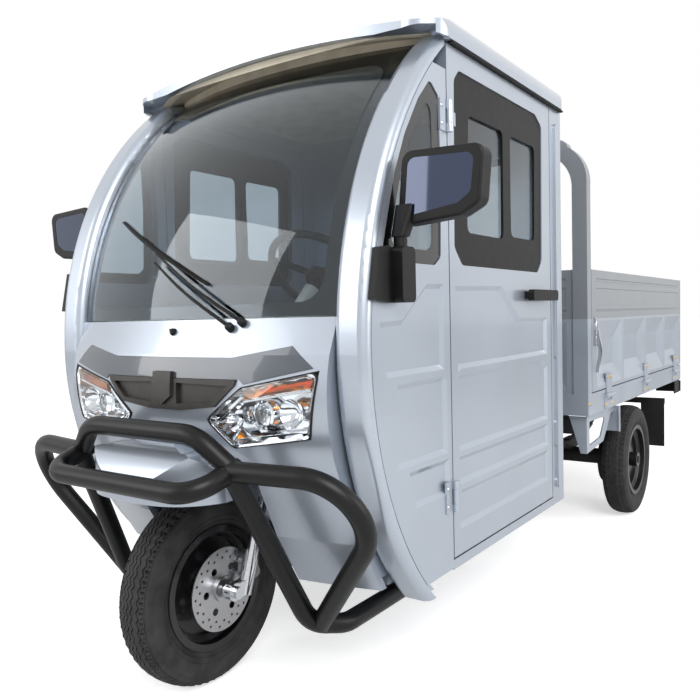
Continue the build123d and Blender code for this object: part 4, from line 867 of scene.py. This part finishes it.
def wiper_blade():
    """Bridge of the blade and its rubber lip, both along the screen."""
    t = np.linspace(0, 1, 30)
    y = 110 + t * (-318 - 110)
    z = 1082 + t * (1288 - 1082)
    x = screen_x(y, z)
    bridge = np.column_stack([x + 11 + 5 * np.sin(math.pi * t), y, z])
    lip = np.column_stack([x + 4.5, y, z])
    bar = [(-5, -2.5), (5, -2.5), (5, 2.5), (-5, 2.5)]
    rubber = [(-1.8, -4), (1.8, -4), (1.8, 4), (-1.8, 4)]
    return joined([swept(bar, bridge, 0.55 + 0.45 * np.sin(math.pi * t)), swept(rubber, lip)])


def washer_nozzle():
    """Round nozzle on the cowl with two jets."""
    x = float(nose_x(0, 962))
    body = lathe([(10, -2), (10, 3), (7, 9), (0.1, 11), (0.1, -2)], (x, 0, 962), (0.85, 0, 0.5), steps=20)
    jets = [lathe([(2, 0), (2, 4), (0.1, 5), (0.1, 0)], (x + 8, side * 4, 967), (0.5, 0, 0.85), steps=10)
            for side in (1, -1)]
    return joined([body, *jets])


class TRICYCLE_OT_wiper(bpy.types.Operator):
    """Adds the double-arm wiper and the washer nozzle"""

    bl_idname = "tricycle.wiper"
    bl_label = "Wiper"

    def execute(self, context):
        arms = joined([wiper_arms(), washer_nozzle()])
        add_piece("wiper_arms", arms, MATERIALS["trim_black"], stands_for=("wiper",))
        add_piece("wiper_blade", wiper_blade(), MATERIALS["rubber"])
        return {"FINISHED"}


# Fittings


SIDE_HINGES = (-1859, -2527, -3224)
LATCH_X = -1668


def side_hinge_bolts():
    """Two round heads on each moving strap of a side board's hinges."""
    places = [(x + off, BED_HALF + 6, 702) for x in SIDE_HINGES for off in (-22, 22)]
    return dome_bolts(places, (0, 1, 0), 7, 4)


def bed_bolts():
    """Round heads on the fixed leaves of the side hinges and on the front sill's corners."""
    leaves = [(x + off, BED_HALF + 4, 584) for x in SIDE_HINGES for off in (-46, 46)]
    corners = [(BED_FRONT + off, BED_HALF, 608) for off in (-12, 12)]
    return both_sides(dome_bolts(leaves + corners, (0, 1, 0), 6.5, 3.5))


def board_latch():
    """Toggle latch of a side board: a bowed lever, its pivot block, and a wire hook round the keeper."""
    t = np.linspace(0, 1, 18)
    lever = np.column_stack([LATCH_X + 4 * t, BED_HALF + 10 + 14 * np.sin(math.pi * t) ** 2, 735 + 175 * t])
    turn = np.linspace(0, 2 * math.pi, 25)[:-1]
    hook = np.column_stack([LATCH_X + 13 * np.cos(turn), BED_HALF + 9 + 0 * turn, 918 + 34 * np.sin(turn)])
    ring = hook[:, None] + 3 * np.stack([
        np.cos(turn)[:, None] * np.cos(turn), np.sin(turn) + 0 * turn[:, None],
        np.sin(turn)[:, None] * np.cos(turn)], axis=-1)
    return joined([
        swept(np.array([(-9, -2), (9, -2), (9, 2), (-9, 2)]), lever, 0.75 + 0.35 * t),
        patch(ring, wrap_rows=True, wrap_columns=True),
        block((LATCH_X - 16, BED_HALF, 846), (LATCH_X + 16, BED_HALF + 12, 886)),
        block((LATCH_X - 12, BED_HALF, 942), (LATCH_X + 12, BED_HALF + 10, 962)),
    ])


def door_top_seals():
    """Rubber strips under the eaves, above the doors."""
    return both_sides(block((-1262, CAB_HALF + 1.5, 1712), (-392, CAB_HALF + 14, 1716.8)))


def hinge_screws():
    """Two heads on each fixed leaf of the door hinges."""
    places = [(-343, CAB_HALF + 4, z) for z in (474, 523, 1493, 1539)]
    return both_sides(dome_bolts(places, (0, 1, 0), 6, 3))


def lamp_gaskets():
    """Black seal round each headlamp: a low ring that follows the lamp's edge."""
    outline = resampled(rounded(LAMP_OUTLINE, 14), 96)
    middle = outline.mean(axis=0)
    rings = []
    for scale, out in ((1.035, 0.4), (1.035, 2.2), (1.005, 3.4), (1.005, 0.4)):
        flat = middle + scale * (outline - middle)
        rings.append(np.column_stack([nose_x(flat[:, 0], flat[:, 1]) + out, flat]))
    return both_sides(patch(np.stack(rings), wrap_rows=True, wrap_columns=True))


class TRICYCLE_OT_fittings(bpy.types.Operator):
    """Adds latches, bolts, seals and the lamps' gaskets"""

    bl_idname = "tricycle.fittings"
    bl_label = "Fittings"

    def execute(self, context):
        made = MATERIALS
        bolts, latch = side_hinge_bolts(), board_latch()
        add_piece("side_bolts_left", bolts, made["zinc"], "side_board_left")
        add_piece("side_bolts_right", mirrored(bolts), made["zinc"], "side_board_right")
        steel = made["bright_steel"]
        add_piece("board_latch_left", latch, steel, "side_board_left", bevel=0.8)
        add_piece(
            "board_latch_right", mirrored(latch), steel, "side_board_right", bevel=0.8)
        add_piece("bed_bolts", bed_bolts(), made["zinc"], "bed")
        add_piece("hinge_screws", hinge_screws(), made["bright_steel"])
        add_piece("door_top_seals", door_top_seals(), made["rubber"])
        add_piece("lamp_gaskets", lamp_gaskets(), made["rubber"])
        return {"FINISHED"}


# Seats


def pad(low, high, crown, channels, power=4.0, count=56):
    """Cushion as a superellipsoid between two corners, crowned on its broad faces, with sewn channels.

    Point = centre + half-size · sign(c)·|c|^(2/power) of the sphere's coordinates, less a groove at each
    channel."""
    low, high = np.asarray(low, float), np.asarray(high, float)
    centre, half = (low + high) / 2, (high - low) / 2
    turn = np.linspace(-math.pi, math.pi, 2 * count, endpoint=False)[None, :]
    rise = np.linspace(-math.pi / 2, math.pi / 2, count)[1:-1, None]
    level = np.cos(rise)
    unit = np.stack([level * np.cos(turn), level * np.sin(turn), np.sin(rise) + 0 * turn], axis=-1)
    shape = np.sign(unit) * np.abs(unit) ** (2 / power)
    flat = np.argmin(half)
    across = shape[..., 1]
    swell = 1 - crown * (1 - np.cos(shape[..., 0] * 1.2)) - crown * (1 - np.cos(across * 1.2))
    for at in channels:
        swell = swell - 0.10 * np.exp(-(((across - at) * half[1]) / 9) ** 2)
    shape[..., flat] *= swell
    return patch(centre + half * shape, wrap_columns=True, capped=True)


class TRICYCLE_OT_seats(bpy.types.Operator):
    """Adds the padded seat cushion and back rest"""

    bl_idname = "tricycle.seats"
    bl_label = "Seats"

    def execute(self, context):
        vinyl = MATERIALS["seat_vinyl"]
        cushion = add_piece(
            "seat_cushion_pad", pad((-1170, -450, 597), (-680, 450, 690), 0.22, (-0.5, 0, 0.5)), vinyl,
            stands_for=("seat_cushion",), crease=180)
        points, faces = pad((-1232, -450, 696), (-1160, 450, 1140), 0.22, (-0.5, 0, 0.5))
        points[:, 0] += (1140 - points[:, 2]) * 0.06
        back = add_piece(
            "seat_back_pad", (points, faces), vinyl, stands_for=("seat_back",),
            crease=180)
        for piece in (cushion, back):
            smooth = piece.modifiers.new("smooth", "SUBSURF")
            smooth.levels = 1
            smooth.render_levels = 1
        return {"FINISHED"}


# Stage


CAMERA_PLACE = (1376, 1482, 994)
CAMERA_YAW = 215.24
CAMERA_PITCH = -2.656
CAMERA_ROLL = -1.375


def camera_matrix():
    """Camera's place and its right, up and back directions, from yaw, pitch and roll."""
    yaw, pitch, roll = (math.radians(a) for a in (CAMERA_YAW, CAMERA_PITCH, CAMERA_ROLL))
    ahead = np.array([math.cos(yaw) * math.cos(pitch), math.sin(yaw) * math.cos(pitch), math.sin(pitch)])
    right = np.array([math.sin(yaw), -math.cos(yaw), 0])
    up = np.cross(right, ahead)
    turned_right = math.cos(roll) * right + math.sin(roll) * up
    turned_up = -math.sin(roll) * right + math.cos(roll) * up
    matrix = np.eye(4)
    matrix[:3, 0], matrix[:3, 1], matrix[:3, 2] = turned_right, turned_up, -ahead
    matrix[:3, 3] = np.array(CAMERA_PLACE) / 1000 + (AXLE_X, 0, 0)
    return Matrix(matrix.tolist())


def studio_floor_material():
    """Matt white paper: white where it is open, and darker where the object shades it."""
    made, tree = new_material("white_paper")
    place = object_place(tree)
    fibre = add(tree, "ShaderNodeTexNoise", {"Scale": per_metre(3), "Detail": 2.0}, {"Vector": place})
    colour = two_tone(tree, fibre.outputs["Fac"], linear("E9E9E9"), linear("ECECEC"))
    diffuse = add(tree, "ShaderNodeBsdfDiffuse", links={"Color": colour})
    glow = add(tree, "ShaderNodeEmission", {"Color": (1, 1, 1, 1), "Strength": 0.56})
    path = add(tree, "ShaderNodeLightPath")
    seen = add(
        tree, "ShaderNodeMath", {},
        {0: path.outputs["Is Camera Ray"], 1: path.outputs["Is Transmission Ray"]}, operation="MAXIMUM")
    none = add(tree, "ShaderNodeEmission", {"Color": (0, 0, 0, 1), "Strength": 0.0})
    extra = add(
        tree, "ShaderNodeMixShader", {}, {0: seen.outputs[0], 1: none.outputs[0], 2: glow.outputs[0]})
    total = add(tree, "ShaderNodeAddShader", {}, {0: diffuse.outputs[0], 1: extra.outputs[0]})
    add(tree, "ShaderNodeOutputMaterial", links={"Surface": total.outputs[0]})
    return made


def studio_world():
    """White room: full white where it is looked at, seen in gloss or through glass, and softer as light."""
    world = bpy.data.worlds.new("studio")
    world.use_nodes = True
    tree = world.node_tree
    tree.nodes.clear()
    path = add(tree, "ShaderNodeLightPath")
    seen = add(
        tree, "ShaderNodeMath", {},
        {0: path.outputs["Is Camera Ray"], 1: path.outputs["Is Transmission Ray"]}, operation="MAXIMUM")
    shown = add(
        tree, "ShaderNodeMath", {},
        {0: seen.outputs[0], 1: path.outputs["Is Glossy Ray"]}, operation="MAXIMUM")
    strength = add(tree, "ShaderNodeMapRange", {"To Min": 0.62, "To Max": 1.0}, {"Value": shown.outputs[0]})
    light = add(
        tree, "ShaderNodeBackground", {"Color": (1, 1, 1, 1)}, {"Strength": strength.outputs["Result"]})
    add(tree, "ShaderNodeOutputWorld", links={"Surface": light.outputs[0]})
    bpy.context.scene.world = world


def add_lamp(name, place, target, size, power):
    """Square soft lamp at a place, aimed at a target."""
    data = bpy.data.lights.new(name, "AREA")
    data.size = size
    data.energy = power
    lamp = bpy.data.objects.new(name, data)
    bpy.context.scene.collection.objects.link(lamp)
    back = np.array(place, float) - target
    back /= np.linalg.norm(back)
    right = np.cross((0, 0, 1), back)
    right /= np.linalg.norm(right)
    matrix = np.eye(4)
    matrix[:3, 0], matrix[:3, 1], matrix[:3, 2], matrix[:3, 3] = right, np.cross(back, right), back, place
    lamp.matrix_world = Matrix(matrix.tolist())


class TRICYCLE_OT_stage(bpy.types.Operator):
    """Adds the floor, the soft lamps, the white room and the camera"""

    bl_idname = "tricycle.stage"
    bl_label = "Stage"

    def execute(self, context):
        reach = 60.0
        mesh = bpy.data.meshes.new("floor")
        corners = [(-reach, -reach, 0), (reach, -reach, 0), (reach, reach, 0), (-reach, reach, 0)]
        mesh.from_pydata(corners, [], [(0, 1, 2, 3)])
        mesh.materials.append(studio_floor_material())
        floor = bpy.data.objects.new("floor", mesh)
        context.scene.collection.objects.link(floor)
        studio_world()
        add_lamp("key", (4.5, 4.2, 4.6), (0.4, 0, 0.9), 3.5, 330)
        add_lamp("fill", (5.5, -3.5, 3.0), (1.0, 0, 0.9), 3.5, 120)
        add_lamp("side", (-1.5, 6.0, 2.6), (-0.6, 0, 0.8), 3.0, 130)
        data = bpy.data.cameras.new("camera")
        data.sensor_width = 36.0
        data.lens = context.scene.tricycle.lens
        data.clip_end = 300.0
        camera = bpy.data.objects.new("camera", data)
        context.scene.collection.objects.link(camera)
        camera.matrix_world = camera_matrix()
        context.scene.camera = camera
        context.scene.view_settings.view_transform = "Standard"
        return {"FINISHED"}


class TRICYCLE_PT_sidebar(bpy.types.Panel):
    """Lists the tricycle's settings and pieces"""

    bl_idname = "TRICYCLE_PT_sidebar"
    bl_label = "Tricycle"
    bl_space_type = "VIEW_3D"
    bl_region_type = "UI"
    bl_category = "Tricycle"

    def draw(self, context):
        settings = context.scene.tricycle
        for name in ("paint", "screen_tint", "tread_depth", "tread_waves", "lens"):
            self.layout.prop(settings, name)
        for operator in OPERATORS:
            self.layout.operator(operator.bl_idname)


OPERATORS = (
    TRICYCLE_OT_finishes,
    TRICYCLE_OT_tyres,
    TRICYCLE_OT_borders,
    TRICYCLE_OT_headlamps,
    TRICYCLE_OT_wiper,
    TRICYCLE_OT_fittings,
    TRICYCLE_OT_seats,
    TRICYCLE_OT_stage,
)
CLASSES = (TricycleSettings, *OPERATORS, TRICYCLE_PT_sidebar)


def register():
    for made in CLASSES:
        bpy.utils.register_class(made)
    bpy.types.Scene.tricycle = bpy.props.PointerProperty(type=TricycleSettings)


def unregister():
    del bpy.types.Scene.tricycle
    for made in reversed(CLASSES):
        bpy.utils.unregister_class(made)


def main():
    register()
    for operator in OPERATORS:
        group, name = operator.bl_idname.split(".")
        getattr(getattr(bpy.ops, group), name)()


if __name__ == "__main__":
    main()
